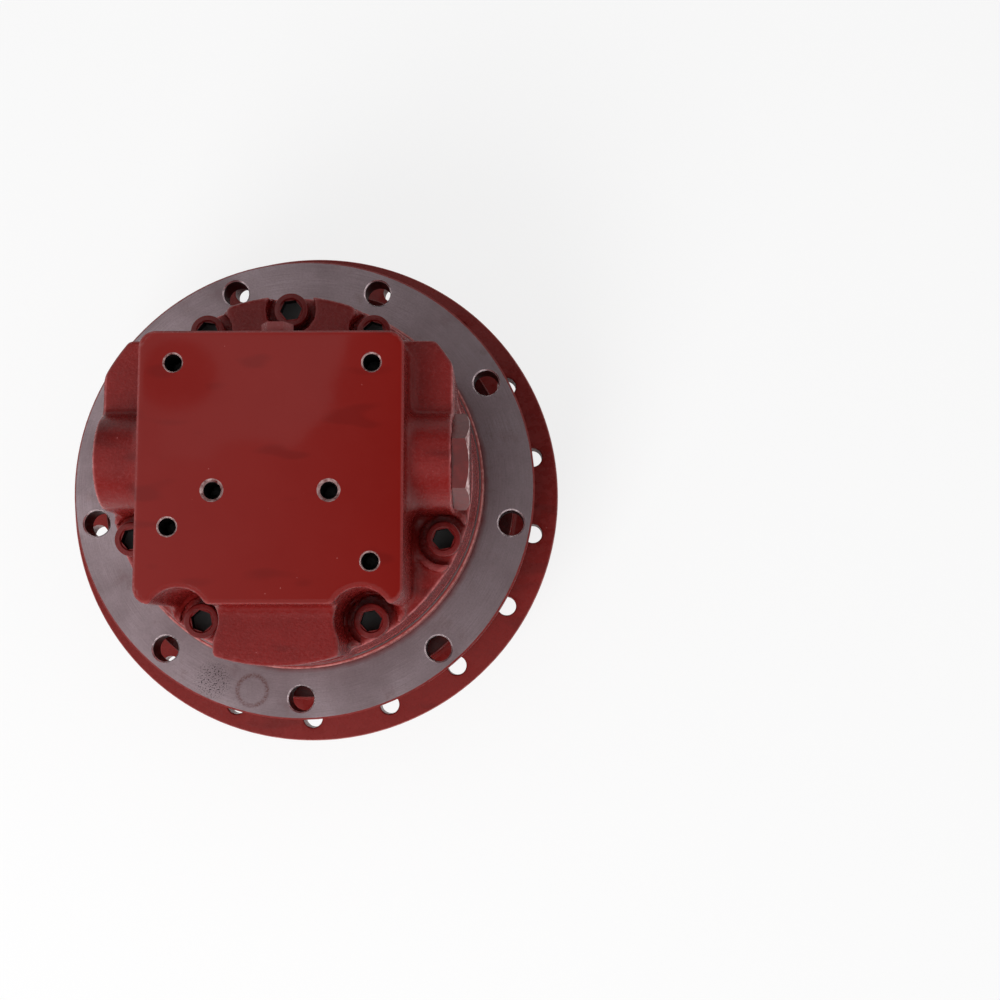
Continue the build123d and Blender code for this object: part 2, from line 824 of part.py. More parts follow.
second_turn = math.radians(second_planet_angle)
second_sun_phase = sun_phase(second_turn, second_planet_teeth, second_sun_teeth)
with BuildPart() as first_carrier:
    with BuildSketch(Plane.XY.offset(carrier_bottom)):
        Circle(carrier_radius)
        with BuildLine():
            spline_hole = gear_outline(second_sun_teeth, second_sun_phase, play=tooth_play)
            Polyline(*[(x * 1.01, y * 1.01) for x, y in spline_hole], close=True)
        make_face(mode=Mode.SUBTRACT)
        with Locations(*on_circle(first_centre, first_angles)):
            Circle(first_pin_radius, mode=Mode.SUBTRACT)
    extrude(amount=carrier_thickness)
nodes["first_carrier"] = first_carrier

with BuildPart() as first_pins:
    with BuildSketch(Plane.XY.offset(first_gear_bottom - pin_overhang)):
        with Locations(*on_circle(first_centre, first_angles)):
            Circle(first_pin_radius)
    extrude(amount=carrier_top - first_gear_bottom + pin_overhang)
nodes["first_planet_pins"] = first_pins

with BuildPart() as first_bushes:
    with BuildSketch(Plane.XY.offset(first_gear_bottom)):
        with Locations(*on_circle(first_centre, first_angles)):
            Circle(first_planet_bore - fit)
            Circle(first_pin_radius, mode=Mode.SUBTRACT)
    extrude(amount=first_gear_width)
nodes["first_planet_bushes"] = first_bushes


# Second stage: a sun on the first carrier, and three planets on pins in the motor case
second_angles = planet_angles(second_planet_angle)
with BuildPart() as second_sun:
    with BuildSketch(Plane.XY.offset(carrier_bottom)):
        with BuildLine():
            Polyline(*gear_outline(second_sun_teeth, second_sun_phase, steps=3), close=True)
        make_face()
        Circle(second_sun_bore, mode=Mode.SUBTRACT)
    extrude(amount=second_gear_top + sun_overhang - carrier_bottom)
nodes["second_sun_gear"] = second_sun

for letter, angle in zip("abc", second_angles):
    with BuildPart() as planet:
        centre = on_circle(second_centre, [angle])[0]
        with BuildSketch(Plane.XY.offset(second_gear_bottom)):
            with BuildLine():
                turn = planet_phase(math.radians(angle), second_planet_teeth)
                outline = gear_outline(second_planet_teeth, turn)
                Polyline(*[(x + centre[0], y + centre[1]) for x, y in outline], close=True)
            make_face()
            with Locations(centre):
                Circle(second_planet_bore, mode=Mode.SUBTRACT)
        extrude(amount=second_gear_width)
    nodes["second_planet_" + letter] = planet

with BuildPart() as second_pins:
    with BuildSketch(Plane.XY.offset(second_gear_bottom - pin_overhang)):
        with Locations(*on_circle(second_centre, second_angles)):
            Circle(second_pin_radius)
    extrude(amount=nose_bottom + second_pin_depth - second_gear_bottom + pin_overhang)
nodes["second_planet_pins"] = second_pins

with BuildPart() as second_bushes:
    with BuildSketch(Plane.XY.offset(second_gear_bottom)):
        with Locations(*on_circle(second_centre, second_angles)):
            Circle(second_planet_bore - fit)
            Circle(second_pin_radius, mode=Mode.SUBTRACT)
    extrude(amount=nose_bottom - second_gear_bottom)
nodes["second_planet_bushes"] = second_bushes


# Motor shaft: journal with a splined socket for the sun's stem, and splines for the block
shaft_top = case_joint + shaft_tail
with BuildPart() as motor_shaft:
    with BuildSketch(Plane.XY.offset(nose_bottom + shaft_foot_gap)):
        Circle(journal_radius)
    extrude(amount=cavity_bottom - nose_bottom)
    with BuildSketch(Plane.XY.offset(cavity_bottom)):
        Circle(shaft_radius - fit)
    extrude(amount=shaft_top - cavity_bottom)
    with BuildSketch(Plane.XY.offset(block_seat)):
        with PolarLocations(shaft_radius, spline_count):
            Rectangle(2 * spline_depth, spline_width)
    extrude(amount=block_top - block_seat - shaft_spline_stop)
    with BuildSketch(Plane.XY.offset(nose_bottom + shaft_foot_gap)):
        Circle(sun_stem_radius + fit)
        with PolarLocations(sun_stem_radius, spline_count):
            Rectangle(2 * (spline_depth + fit), stem_spline_width + 2 * fit)
    extrude(amount=shaft_socket_depth, mode=Mode.SUBTRACT)
nodes["motor_shaft"] = motor_shaft


# Front bearing of the motor shaft, and the lip seal below it
front_roller_radius = (shaft_cup - shaft_race) / 2 - 2 * fit
with BuildPart() as front_outer:
    with BuildSketch(Plane.XY.offset(front_bearing)):
        Circle(shaft_bearing_outer)
        Circle(shaft_cup, mode=Mode.SUBTRACT)
    extrude(amount=shaft_bearing_width)
nodes["shaft_bearing_outer_ring"] = front_outer
with BuildPart() as front_inner:
    with BuildSketch(Plane.XY.offset(front_bearing)):
        Circle(shaft_race)
        Circle(journal_radius + fit, mode=Mode.SUBTRACT)
    extrude(amount=shaft_bearing_width)
nodes["shaft_bearing_inner_ring"] = front_inner
with BuildPart() as front_rollers:
    with BuildSketch(Plane.XY.offset(front_bearing + front_roller_inset)):
        with PolarLocations((shaft_race + shaft_cup) / 2, front_roller_count):
            Circle(front_roller_radius)
    extrude(amount=shaft_bearing_width - 2 * front_roller_inset)
nodes["shaft_bearing_rollers"] = front_rollers
with BuildPart() as shaft_seal:
    with BuildSketch(Plane.XY.offset(nose_bottom + nose_lip)):
        Circle(shaft_seal_radius - fit)
        Circle(journal_radius + 2 * fit, mode=Mode.SUBTRACT)
    extrude(amount=shaft_seal_height)
nodes["shaft_seal"] = shaft_seal
with BuildPart() as rear_bush:
    with BuildSketch(Plane.XY.offset(case_joint)):
        Circle(shaft_radius + bush_wall)
        Circle(shaft_radius, mode=Mode.SUBTRACT)
    extrude(amount=rear_bush_length)
nodes["shaft_rear_bush"] = rear_bush


# Cylinder block: nine bores, the valve ports on its top face and the brake's splines outside
with BuildPart() as cylinder_block:
    with BuildSketch(Plane.XY.offset(block_bottom)):
        Circle(block_radius)
        Circle(shaft_radius + fit, mode=Mode.SUBTRACT)
    extrude(amount=block_length - fit)
    with BuildSketch(Plane.XY.offset(brake_floor - block_tooth_overhang)):
        with PolarLocations(block_radius, block_tooth_count):
            Rectangle(2 * block_tooth_height, block_tooth_width)
    extrude(amount=brake_stack_top - brake_floor + 2 * block_tooth_overhang)
    with BuildSketch(Plane.XY.offset(block_bottom)):
        with PolarLocations(piston_circle, piston_count):
            Circle(piston_radius + fit)
    extrude(amount=block_length - block_end_wall, mode=Mode.SUBTRACT)
    with BuildSketch(Plane.XY.offset(block_bottom)):
        with PolarLocations(piston_circle, piston_count):
            Circle(piston_radius / 2)
    extrude(amount=block_length, mode=Mode.SUBTRACT)
    with BuildSketch(Plane.XY.offset(block_bottom)):
        Circle(retainer_ball_radius + ball_guide_lip)
    extrude(amount=block_seat - block_bottom, mode=Mode.SUBTRACT)
    with BuildSketch(Plane.XY.offset(block_seat)):
        with PolarLocations(shaft_radius, spline_count):
            Rectangle(2 * (spline_depth + fit), spline_width + 2 * fit)
    extrude(amount=block_top - block_seat, mode=Mode.SUBTRACT)
nodes["cylinder_block"] = cylinder_block


# Pistons: each ball sits in its shoe on the tilted plate, so each stands at its own height
piston_points = on_circle(piston_circle, every(piston_count))
with BuildPart() as pistons:
    for x, y in piston_points:
        ball = swash_centre - x * math.tan(tilt)
        with BuildSketch(Plane(origin=(x, y, ball + piston_ball_radius + piston_neck))):
            Circle(piston_radius)
        extrude(amount=piston_length - piston_ball_radius - piston_neck)
        with BuildSketch(Plane(origin=(x, y, ball))):
            Circle(piston_neck_radius)
        extrude(amount=piston_ball_radius + piston_neck)
        with Locations((x, y, ball)):
            Sphere(piston_ball_radius)
nodes["pistons"] = pistons


# Shoes and the plate that holds them down, both square to the swash plate
shoe_points = [(x / math.cos(tilt), y) for x, y in piston_points]
with BuildPart() as piston_shoes:
    with BuildSketch(swash_plane(-shoe_height)):
        with Locations(*shoe_points):
            Circle(shoe_flange_radius)
    extrude(amount=shoe_flange_thickness)
    with BuildSketch(swash_plane(-shoe_height)):
        with Locations(*shoe_points):
            Circle(shoe_neck_radius)
    extrude(amount=shoe_height + shoe_neck_rise)
    with Locations(swash_plane(0)):
        with Locations(*shoe_points):
            Sphere(piston_ball_radius + fit, mode=Mode.SUBTRACT)
nodes["piston_shoes"] = piston_shoes

with BuildPart() as shoe_retainer:
    with BuildSketch(swash_plane(shoe_flange_thickness - shoe_height + fit)):
        Circle(retainer_radius)
        with PolarLocations(piston_circle + retainer_hole_shift, piston_count):
            Circle(shoe_neck_radius + retainer_hole_play, mode=Mode.SUBTRACT)
    extrude(amount=retainer_thickness)
    with BuildSketch(swash_plane(shoe_flange_thickness - shoe_height + fit)):
        Circle(retainer_rim_radius)
    extrude(amount=retainer_rim_height)
    with Locations(swash_plane(0)):
        Sphere(retainer_ball_radius + running / 2, mode=Mode.SUBTRACT)
nodes["shoe_retainer"] = shoe_retainer


# Retainer ball: slides on the shaft, and the block's spring pushes it down
with BuildPart() as retainer_ball:
    with Locations((0, 0, swash_centre)):
        Sphere(retainer_ball_radius)
    with BuildSketch(Plane.XY.offset(swash_centre + ball_half_height)):
        Circle(retainer_ball_radius)
    extrude(amount=retainer_ball_radius, mode=Mode.SUBTRACT)
    with BuildSketch(Plane.XY.offset(swash_centre - ball_half_height)):
        Circle(retainer_ball_radius)
    extrude(amount=-retainer_ball_radius, mode=Mode.SUBTRACT)
    with BuildSketch(Plane.XY.offset(swash_centre + ball_half_height)):
        Circle(ball_neck_radius)
    extrude(amount=block_gap + ball_guide_gap - ball_half_height)
    with BuildSketch(Plane.XY.offset(block_bottom + ball_guide_gap)):
        Circle(retainer_ball_radius + ball_guide_lip - running)
    extrude(amount=ball_guide_thickness)
    with BuildSketch(Plane.XY.offset(swash_centre - retainer_ball_radius)):
        Circle(shaft_radius)
    extrude(amount=3 * retainer_ball_radius, mode=Mode.SUBTRACT)
nodes["retainer_ball"] = retainer_ball


# Block spring, between the ball and the block's shoulder
spring_foot = block_bottom + ball_guide_gap + ball_guide_thickness
spring_end_gap = block_spring_wire / 2 + running
with BuildPart() as block_spring:
    with BuildLine(Plane.XY.offset(spring_foot + spring_end_gap)) as coil:
        Helix(
            pitch=block_spring_pitch,
            height=block_seat - spring_foot - 2 * spring_end_gap,
            radius=block_spring_radius,
        )
    with BuildSketch(Plane(origin=coil.line @ 0, z_dir=coil.line % 0)):
        Rectangle(block_spring_wire, block_spring_wire)
    sweep(is_frenet=True)
nodes["block_spring"] = block_spring


# Swash plate: a running face, two cradle lugs behind it and a hole for the shaft
with BuildPart() as swash_plate:
    for side in (-1, 1):
        with BuildSketch(Plane.XZ.offset(-side * cradle_near)):
            with Locations((0, swash_centre)):
                Circle(cradle_radius)
        extrude(amount=-side * (cradle_far - cradle_near))
    with BuildSketch(swash_plane(-shoe_height - fit)):
        Circle(2 * swash_radius)
    extrude(amount=3 * cradle_radius, mode=Mode.SUBTRACT)
    with BuildSketch(swash_plane(-shoe_height - fit)):
        Circle(swash_radius)
    extrude(amount=-swash_thickness)
    with BuildSketch(swash_plane(0)):
        Circle(swash_hole_radius)
    extrude(amount=-2 * cradle_radius, mode=Mode.SUBTRACT)
nodes["swash_plate"] = swash_plate

with BuildPart() as cradle_bearings:
    for side in (-1, 1):
        with BuildSketch(Plane.XZ.offset(-side * cradle_near)):
            with Locations((0, swash_centre)):
                Circle(cradle_radius + cradle_shell)
                Circle(cradle_radius + fit, mode=Mode.SUBTRACT)
            with Locations((0, cradle_seat_top)):
                Rectangle(4 * cradle_radius, 4 * cradle_radius,
                          align=(Align.CENTER, Align.MIN), mode=Mode.SUBTRACT)
        extrude(amount=-side * (cradle_far - cradle_near))
nodes["cradle_bearings"] = cradle_bearings


# Two-speed piston, under the swash plate's low side
swash_underside = swash_centre - speed_piston_offset * math.tan(tilt) - (
    shoe_height + fit + swash_thickness) / math.cos(tilt)
speed_piston_top = swash_underside - speed_piston_radius * math.tan(tilt) - running
speed_piston_foot = cavity_bottom - shaft_bearing_width + speed_piston_gap
with BuildPart() as speed_piston:
    with BuildSketch(Plane(origin=(speed_piston_offset, 0, speed_piston_foot))):
        Circle(speed_piston_radius)
    extrude(amount=speed_piston_top - speed_piston_foot)
    chamfer(speed_piston.edges().group_by(Axis.Z)[-1], length=speed_piston_edge)
nodes["speed_piston"] = speed_piston


# Parking brake: friction plates on the block, separators in the case, a piston and a disc spring
with BuildPart() as friction_plates:
    for place in range(friction_count):
        level = brake_floor + separator_thickness + brake_gap + place * (
            separator_thickness + friction_thickness + 2 * brake_gap)
        with BuildSketch(Plane.XY.offset(level)):
            Circle(cavity_radius + friction_reach)
            Circle(block_radius + running, mode=Mode.SUBTRACT)
            with PolarLocations(block_radius, block_tooth_count):
                Rectangle(2 * (block_tooth_height + running), block_tooth_width + running,
                          mode=Mode.SUBTRACT)
        extrude(amount=friction_thickness)
nodes["friction_plates"] = friction_plates

with BuildPart() as separator_plates:
    for place in range(friction_count + 1):
        level = brake_floor + place * (separator_thickness + friction_thickness + 2 * brake_gap)
        with BuildSketch(Plane.XY.offset(level)):
            Circle(brake_case_radius - fit)
            with PolarLocations(brake_case_radius, brake_lug_count):
                Rectangle(2 * (brake_lug_depth - running), brake_lug_width - running)
            Circle(brake_inner_radius, mode=Mode.SUBTRACT)
        extrude(amount=separator_thickness)
nodes["separator_plates"] = separator_plates

piston_foot = brake_stack_top + fit
piston_top = piston_foot + brake_piston_height
with BuildPart() as brake_piston:
    with BuildSketch(Plane.XZ):
        with BuildLine():
            Polyline(
                (brake_inner_radius, piston_foot),
                (brake_case_radius - brake_piston_relief, piston_foot),
                (brake_case_radius - brake_piston_relief, brake_bore_bottom + brake_piston_relief),
                (brake_small_radius - fit, brake_bore_bottom + brake_piston_relief),
                (brake_small_radius - fit, brake_step + brake_stroke_room),
                (brake_large_radius - fit, brake_step + brake_stroke_room),
                (brake_large_radius - fit, piston_top),
                (brake_inner_radius, piston_top),
                close=True,
            )
        make_face()
    revolve(axis=Axis.Z)
nodes["brake_piston"] = brake_piston

spring_inner = brake_inner_radius + brake_spring_inset
spring_outer = brake_large_radius - brake_spring_land
with BuildPart() as brake_spring:
    with BuildSketch(Plane.XZ):
        with BuildLine():
            Polyline(
                (spring_inner, piston_top + fit),
                (spring_inner + brake_spring_land, piston_top + fit),
                (spring_outer, case_joint - brake_spring_thickness - fit),
                (spring_outer, case_joint - fit),
                (spring_outer - brake_spring_land, case_joint - fit),
                (spring_inner, piston_top + brake_spring_thickness + fit),
                close=True,
            )
        make_face()
    revolve(axis=Axis.Z)
nodes["brake_spring"] = brake_spring


# Valve plate, with its two kidney ports
kidneys = [CenterArc((0, 0), piston_circle, middle - kidney_angle / 2, kidney_angle) for middle in kidney_middles]
with BuildPart() as valve_plate:
    with BuildSketch(Plane.XY.offset(block_top)):
        Circle(valve_plate_radius)
        Circle(shaft_radius + bush_wall, mode=Mode.SUBTRACT)
        for kidney in kidneys:
            SlotArc(kidney, kidney_width, mode=Mode.SUBTRACT)
    extrude(amount=valve_plate_thickness)
nodes["valve_plate"] = valve_plate


# Port block: tapered flange, screw seats, shoulders, port pad, spool boss and the flat face
screw_points = on_circle(case_screw_circle, case_screw_angles)
low_screws = [point for point in screw_points if point[1] < face_bottom]
block_foot = case_joint + block_flange_height / 2
with BuildPart() as port_block:
    with BuildSketch(Plane.XY.offset(case_joint)):
        Circle(block_flange_radius)
    extrude(amount=block_flange_height, taper=block_draft)
    with BuildSketch(Plane.XY.offset(block_foot)):
        with Locations(*screw_points):
            Circle(screw_boss_radius)
        Circle(screw_boss_reach, mode=Mode.INTERSECT)
    extrude(amount=flange_top + screw_boss_height - block_foot)
    with BuildSketch(Plane.XY.offset(block_foot)):
        with Locations((0, face_top)):
            Rectangle(2 * lump_half_width, block_flange_radius, align=(Align.CENTER, Align.MIN))
        Circle(lump_radius, mode=Mode.INTERSECT)
    extrude(amount=lump_face - block_foot)
    with BuildSketch(Plane.XY.offset(block_foot)):
        for side in (-1, 1):
            with Locations((side * (wing_half_width - wing_width / 2), (wing_top + spool_offset) / 2)):
                Rectangle(wing_width, wing_top - spool_offset)
        Circle(wing_radius, mode=Mode.INTERSECT)
    extrude(amount=wing_face - block_foot)
    with BuildSketch(Plane.XY.offset(case_joint)):
        with Locations((0, face_bottom)):
            Rectangle(2 * port_pad_half_width, block_flange_radius, align=(Align.CENTER, Align.MAX))
        Circle(block_flange_radius, mode=Mode.INTERSECT)
    extrude(amount=pad_face - case_joint)
    with BuildSketch(Plane.YZ.offset(-wing_half_width)):
        with Locations((spool_offset, spool_level)):
            Circle(spool_boss_radius)
        with Locations((spool_offset, block_foot)):
            Rectangle(2 * spool_boss_radius, spool_level - block_foot, align=(Align.CENTER, Align.MIN))
    extrude(amount=2 * wing_half_width)
    with BuildSketch(Plane.XY.offset(block_foot)):
        with Locations((0, (face_top + face_bottom) / 2)):
            RectangleRounded(2 * face_half_width, face_top - face_bottom, face_corner)
    extrude(amount=block_face - block_foot)
    # Cast hollows where the walls of the face meet the shoulders and the port pad
    for side in (-1, 1):
        with BuildSketch(Plane.XZ.offset(face_corner - face_top)):
            with Locations((side * (face_half_width + root_fillet / 2), wing_face + root_fillet / 2)):
                Rectangle(root_fillet, root_fillet)
            with Locations((side * (face_half_width + root_fillet), wing_face + root_fillet)):
                Circle(root_fillet, mode=Mode.SUBTRACT)
        extrude(amount=face_top - face_corner - spool_offset)
    with BuildSketch(Plane.YZ.offset(-port_pad_half_width)):
        with Locations((face_bottom - root_fillet / 2, pad_face + root_fillet / 2)):
            Rectangle(root_fillet, root_fillet)
        with Locations((face_bottom - root_fillet, pad_face + root_fillet)):
            Circle(root_fillet, mode=Mode.SUBTRACT)
    extrude(amount=2 * port_pad_half_width)
    # Pockets round the screws, and scallops where the face is in the way of the lower two
    with BuildSketch(Plane.XY.offset(flange_top)):
        with Locations(*screw_points):
            Circle(spot_face_radius)
    extrude(amount=block_face - flange_top, mode=Mode.SUBTRACT)
    with BuildSketch(Plane.XY.offset(flange_top + screw_boss_height)):
        with Locations(*low_screws):
            Circle(scallop_radius)
    extrude(amount=block_face - flange_top, mode=Mode.SUBTRACT)
    face_rim = port_block.faces().sort_by(Axis.Z)[-1].edges()
    fillet(face_rim, radius=face_edge)
    # Screw holes, tapped holes in the face and the bores below
    with Locations(Plane.XY.offset(flange_top)):
        with Locations(*screw_points):
            Hole(case_screw_radius + fit, depth=block_flange_height)
    with Locations(Plane.XY.offset(block_face)):
        with Locations(*face_holes):
            CounterSinkHole(face_hole_radius, face_hole_radius + face_hole_chamfer, depth=face_hole_depth,
                            counter_sink_angle=90)
        with Locations((-gauge_hole_offset, gauge_hole_row), (gauge_hole_offset, gauge_hole_row)):
            CounterSinkHole(face_hole_radius, face_hole_radius + gauge_hole_chamfer, depth=face_hole_depth,
                            counter_sink_angle=90)
    with BuildSketch(Plane.XY.offset(case_joint)):
        Circle(shaft_radius + bush_wall)
    extrude(amount=rear_bush_length + bush_wall, mode=Mode.SUBTRACT)
    # Spool bore from side to side, wider at both ends for the plugs
    with BuildSketch(Plane.YZ.offset(-wing_half_width)):
        with Locations((spool_offset, spool_level)):
            Circle(spool_radius)
    extrude(amount=2 * wing_half_width, mode=Mode.SUBTRACT)
    for side in (-1, 1):
        with BuildSketch(Plane.YZ.offset(side * wing_half_width)):
            with Locations((spool_offset, spool_level)):
                Circle(spool_plug_radius)
        extrude(amount=-side * spool_plug_length, mode=Mode.SUBTRACT)
    # Main ports in the pad, each with its passages down to a kidney of the valve plate
    for side in (-1, 1):
        with BuildSketch(Plane.XZ.offset(port_face)):
            with Locations((side * port_spacing / 2, port_level)):
                Circle(port_face_radius)
        extrude(amount=block_flange_radius - port_face, mode=Mode.SUBTRACT)
        with BuildSketch(Plane.XZ.offset(port_face)):
            with Locations((side * port_spacing / 2, port_level)):
                Circle(port_radius)
        extrude(amount=-port_depth, mode=Mode.SUBTRACT)
        with BuildSketch(Plane.XZ.offset(port_face)):
            with Locations((side * port_spacing / 2, port_level)):
                Circle(passage_radius)
        extrude(amount=-port_face - side * passage_offset, mode=Mode.SUBTRACT)
        with BuildSketch(Plane.XY.offset(case_joint)):
            with Locations((side * port_spacing / 2, side * passage_offset)):
                Circle(passage_radius)
        extrude(amount=port_level - case_joint, mode=Mode.SUBTRACT)
    # Two drain ports, the pilot port and the gauge plug's hole in the opposite wall
    with BuildSketch(Plane.XZ.offset(-face_top)):
        with Locations(*[(x, small_port_level) for x in small_ports]):
            Circle(small_port_radius)
    extrude(amount=small_port_depth, mode=Mode.SUBTRACT)
    with BuildSketch(Plane.XZ.offset(-face_top)):
        with Locations((gauge_plug_offset, small_port_level)):
            Circle(gauge_plug_radius + fit)
    extrude(amount=gauge_plug_depth + gear_gap, mode=Mode.SUBTRACT)
nodes["port_block"] = port_block


# Screws that hold the port block on the motor case
with BuildPart() as port_block_screws:
    with BuildSketch(Plane.XY.offset(flange_top)):
        with Locations(*screw_points):
            Circle(case_screw_radius * head_ratio)
    extrude(amount=2 * case_screw_radius)
    head_rims = port_block_screws.faces().filter_by(Axis.Z).group_by(Axis.Z)[-1].edges()
    chamfer(head_rims, length=case_screw_edge)
    with BuildSketch(Plane.XY.offset(flange_top)):
        with Locations(*screw_points):
            Circle(case_screw_radius)
    extrude(amount=-block_flange_height - case_screw_grip)
    with BuildSketch(Plane.XY.offset(flange_top + 2 * case_screw_radius)):
        with Locations(*screw_points):
            RegularPolygon(case_socket / 2, 6, major_radius=False)
    extrude(amount=-2 * case_screw_radius * socket_ratio, mode=Mode.SUBTRACT)
nodes["port_block_screws"] = port_block_screws


# Counterbalance spool: three lands with two waists, and a centring spring at each end
spool_plane = Plane(origin=(0, spool_offset, spool_level), x_dir=(1, 0, 0), z_dir=(0, -1, 0))
spool_end = spool_length / 2
with BuildPart() as main_spool:
    with BuildSketch(spool_plane):
        with BuildLine():
            Polyline(
                (-spool_end, 0),
                (-spool_end, spool_radius - fit),
                (-port_spacing / 2 - passage_radius, spool_radius - fit),
                (-port_spacing / 2 - passage_radius, spool_waist_radius),
                (-spool_land_width / 2, spool_waist_radius),
                (-spool_land_width / 2, spool_radius - fit),
                (spool_land_width / 2, spool_radius - fit),
                (spool_land_width / 2, spool_waist_radius),
                (port_spacing / 2 + passage_radius, spool_waist_radius),
                (port_spacing / 2 + passage_radius, spool_radius - fit),
                (spool_end, spool_radius - fit),
                (spool_end, 0),
                close=True,
            )
        make_face()
    revolve(axis=Axis((0, spool_offset, spool_level), (1, 0, 0)))
nodes["main_spool"] = main_spool

plug_inner_face = wing_half_width - spool_plug_length
for place, side in (("left", -1), ("right", 1)):
    spring_start = spool_end + spring_wire / 2 + fit
    spring_length = plug_inner_face - spool_end - spring_wire - 2 * fit
    with BuildPart() as spool_spring:
        with BuildLine() as coil:
            Helix(
                pitch=spring_pitch,
                height=spring_length,
                radius=spool_radius - spring_wire,
                center=(side * spring_start, spool_offset, spool_level),
                direction=(side, 0, 0),
            )
        with BuildSketch(Plane(origin=coil.line @ 0, z_dir=coil.line % 0)):
            Rectangle(spring_wire, spring_wire)
        sweep(is_frenet=True)
    nodes["spool_spring_" + place] = spool_spring

# Spool plugs: a hex head stands out on the right, and the left one is flush
with BuildPart() as right_spool_plug:
    with BuildSketch(Plane.YZ.offset(wing_half_width)):
        with Locations((spool_offset, spool_level)):
            RegularPolygon(spool_hex / 2, 6, major_radius=False)
    extrude(amount=spool_hex_height)
    with BuildSketch(Plane.YZ.offset(wing_half_width)):
        with Locations((spool_offset, spool_level)):
            Circle(spool_hex / 2 - hex_edge + spool_hex_height * math.tan(math.radians(hex_bevel)))
    extrude(amount=spool_hex_height, taper=hex_bevel, mode=Mode.INTERSECT)
    with BuildSketch(Plane.YZ.offset(plug_inner_face)):
        with Locations((spool_offset, spool_level)):
            Circle(spool_plug_radius - fit)
    extrude(amount=spool_plug_length)
nodes["right_spool_plug"] = right_spool_plug

with BuildPart() as left_spool_plug:
    with BuildSketch(Plane.YZ.offset(-wing_half_width)):
        with Locations((spool_offset, spool_level)):
            Circle(spool_plug_radius - fit)
    extrude(amount=spool_plug_length)
    with BuildSketch(Plane.YZ.offset(-wing_half_width)):
        with Locations((spool_offset, spool_level)):
            RegularPolygon(spool_plug_radius / 2, 6, major_radius=False)
    extrude(amount=spool_plug_length / 3, mode=Mode.SUBTRACT)
nodes["left_spool_plug"] = left_spool_plug

# Gauge plug, with its small hex head, in the wall above the top screw
with BuildPart() as gauge_plug:
    with BuildSketch(Plane.XZ.offset(-face_top)):
        with Locations((gauge_plug_offset, small_port_level)):
            Circle(gauge_plug_radius)
    extrude(amount=gauge_plug_depth)
    with BuildSketch(Plane.XZ.offset(-face_top)):
        with Locations((gauge_plug_offset, small_port_level)):
            RegularPolygon(gauge_plug_hex / 2, 6, major_radius=False)
    extrude(amount=-gauge_plug_head)
nodes["gauge_plug"] = gauge_plug


# Each piece is written under its own name
os.makedirs("parts", exist_ok=True)
for name, piece in nodes.items():
    piece.part.label = name
    export_step(piece.part, "parts/" + name + ".step")
print(len(nodes), "pieces written")
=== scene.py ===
import json
import math

import bmesh
import bpy
import numpy as np
from mathutils import Matrix, Vector


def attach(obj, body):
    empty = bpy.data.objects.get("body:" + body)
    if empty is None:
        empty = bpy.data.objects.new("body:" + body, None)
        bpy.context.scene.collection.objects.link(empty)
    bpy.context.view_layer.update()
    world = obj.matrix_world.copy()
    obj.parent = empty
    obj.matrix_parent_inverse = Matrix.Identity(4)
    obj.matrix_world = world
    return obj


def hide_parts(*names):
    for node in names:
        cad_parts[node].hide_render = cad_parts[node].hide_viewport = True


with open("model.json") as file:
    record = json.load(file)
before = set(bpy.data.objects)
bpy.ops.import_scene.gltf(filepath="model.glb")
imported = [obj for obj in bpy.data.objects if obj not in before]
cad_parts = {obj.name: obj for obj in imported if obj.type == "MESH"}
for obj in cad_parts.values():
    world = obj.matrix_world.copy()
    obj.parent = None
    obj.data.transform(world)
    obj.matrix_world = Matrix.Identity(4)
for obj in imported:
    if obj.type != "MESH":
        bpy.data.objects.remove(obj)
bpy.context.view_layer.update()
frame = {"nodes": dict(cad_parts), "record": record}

# Excavator final drive, seen from above as it stands on its end cover.
# Lengths in the dictionaries are millimetres, as in the part's source, and metres in the studio's.
nodes = frame["nodes"]
mm = 0.001
slotOf = {part["node"]: part["material_slot"] for part in frame["record"]["subparts"]}


def linear(red, green, blue):
    # screen colour, 0 to 255, to the linear colour that a shader takes
    def channel(value):
        value = value / 255
        if value <= 0.04045:
            return value / 12.92
        return ((value + 0.055) / 1.055) ** 2.4
    return (channel(red), channel(green), channel(blue), 1)


# Materials

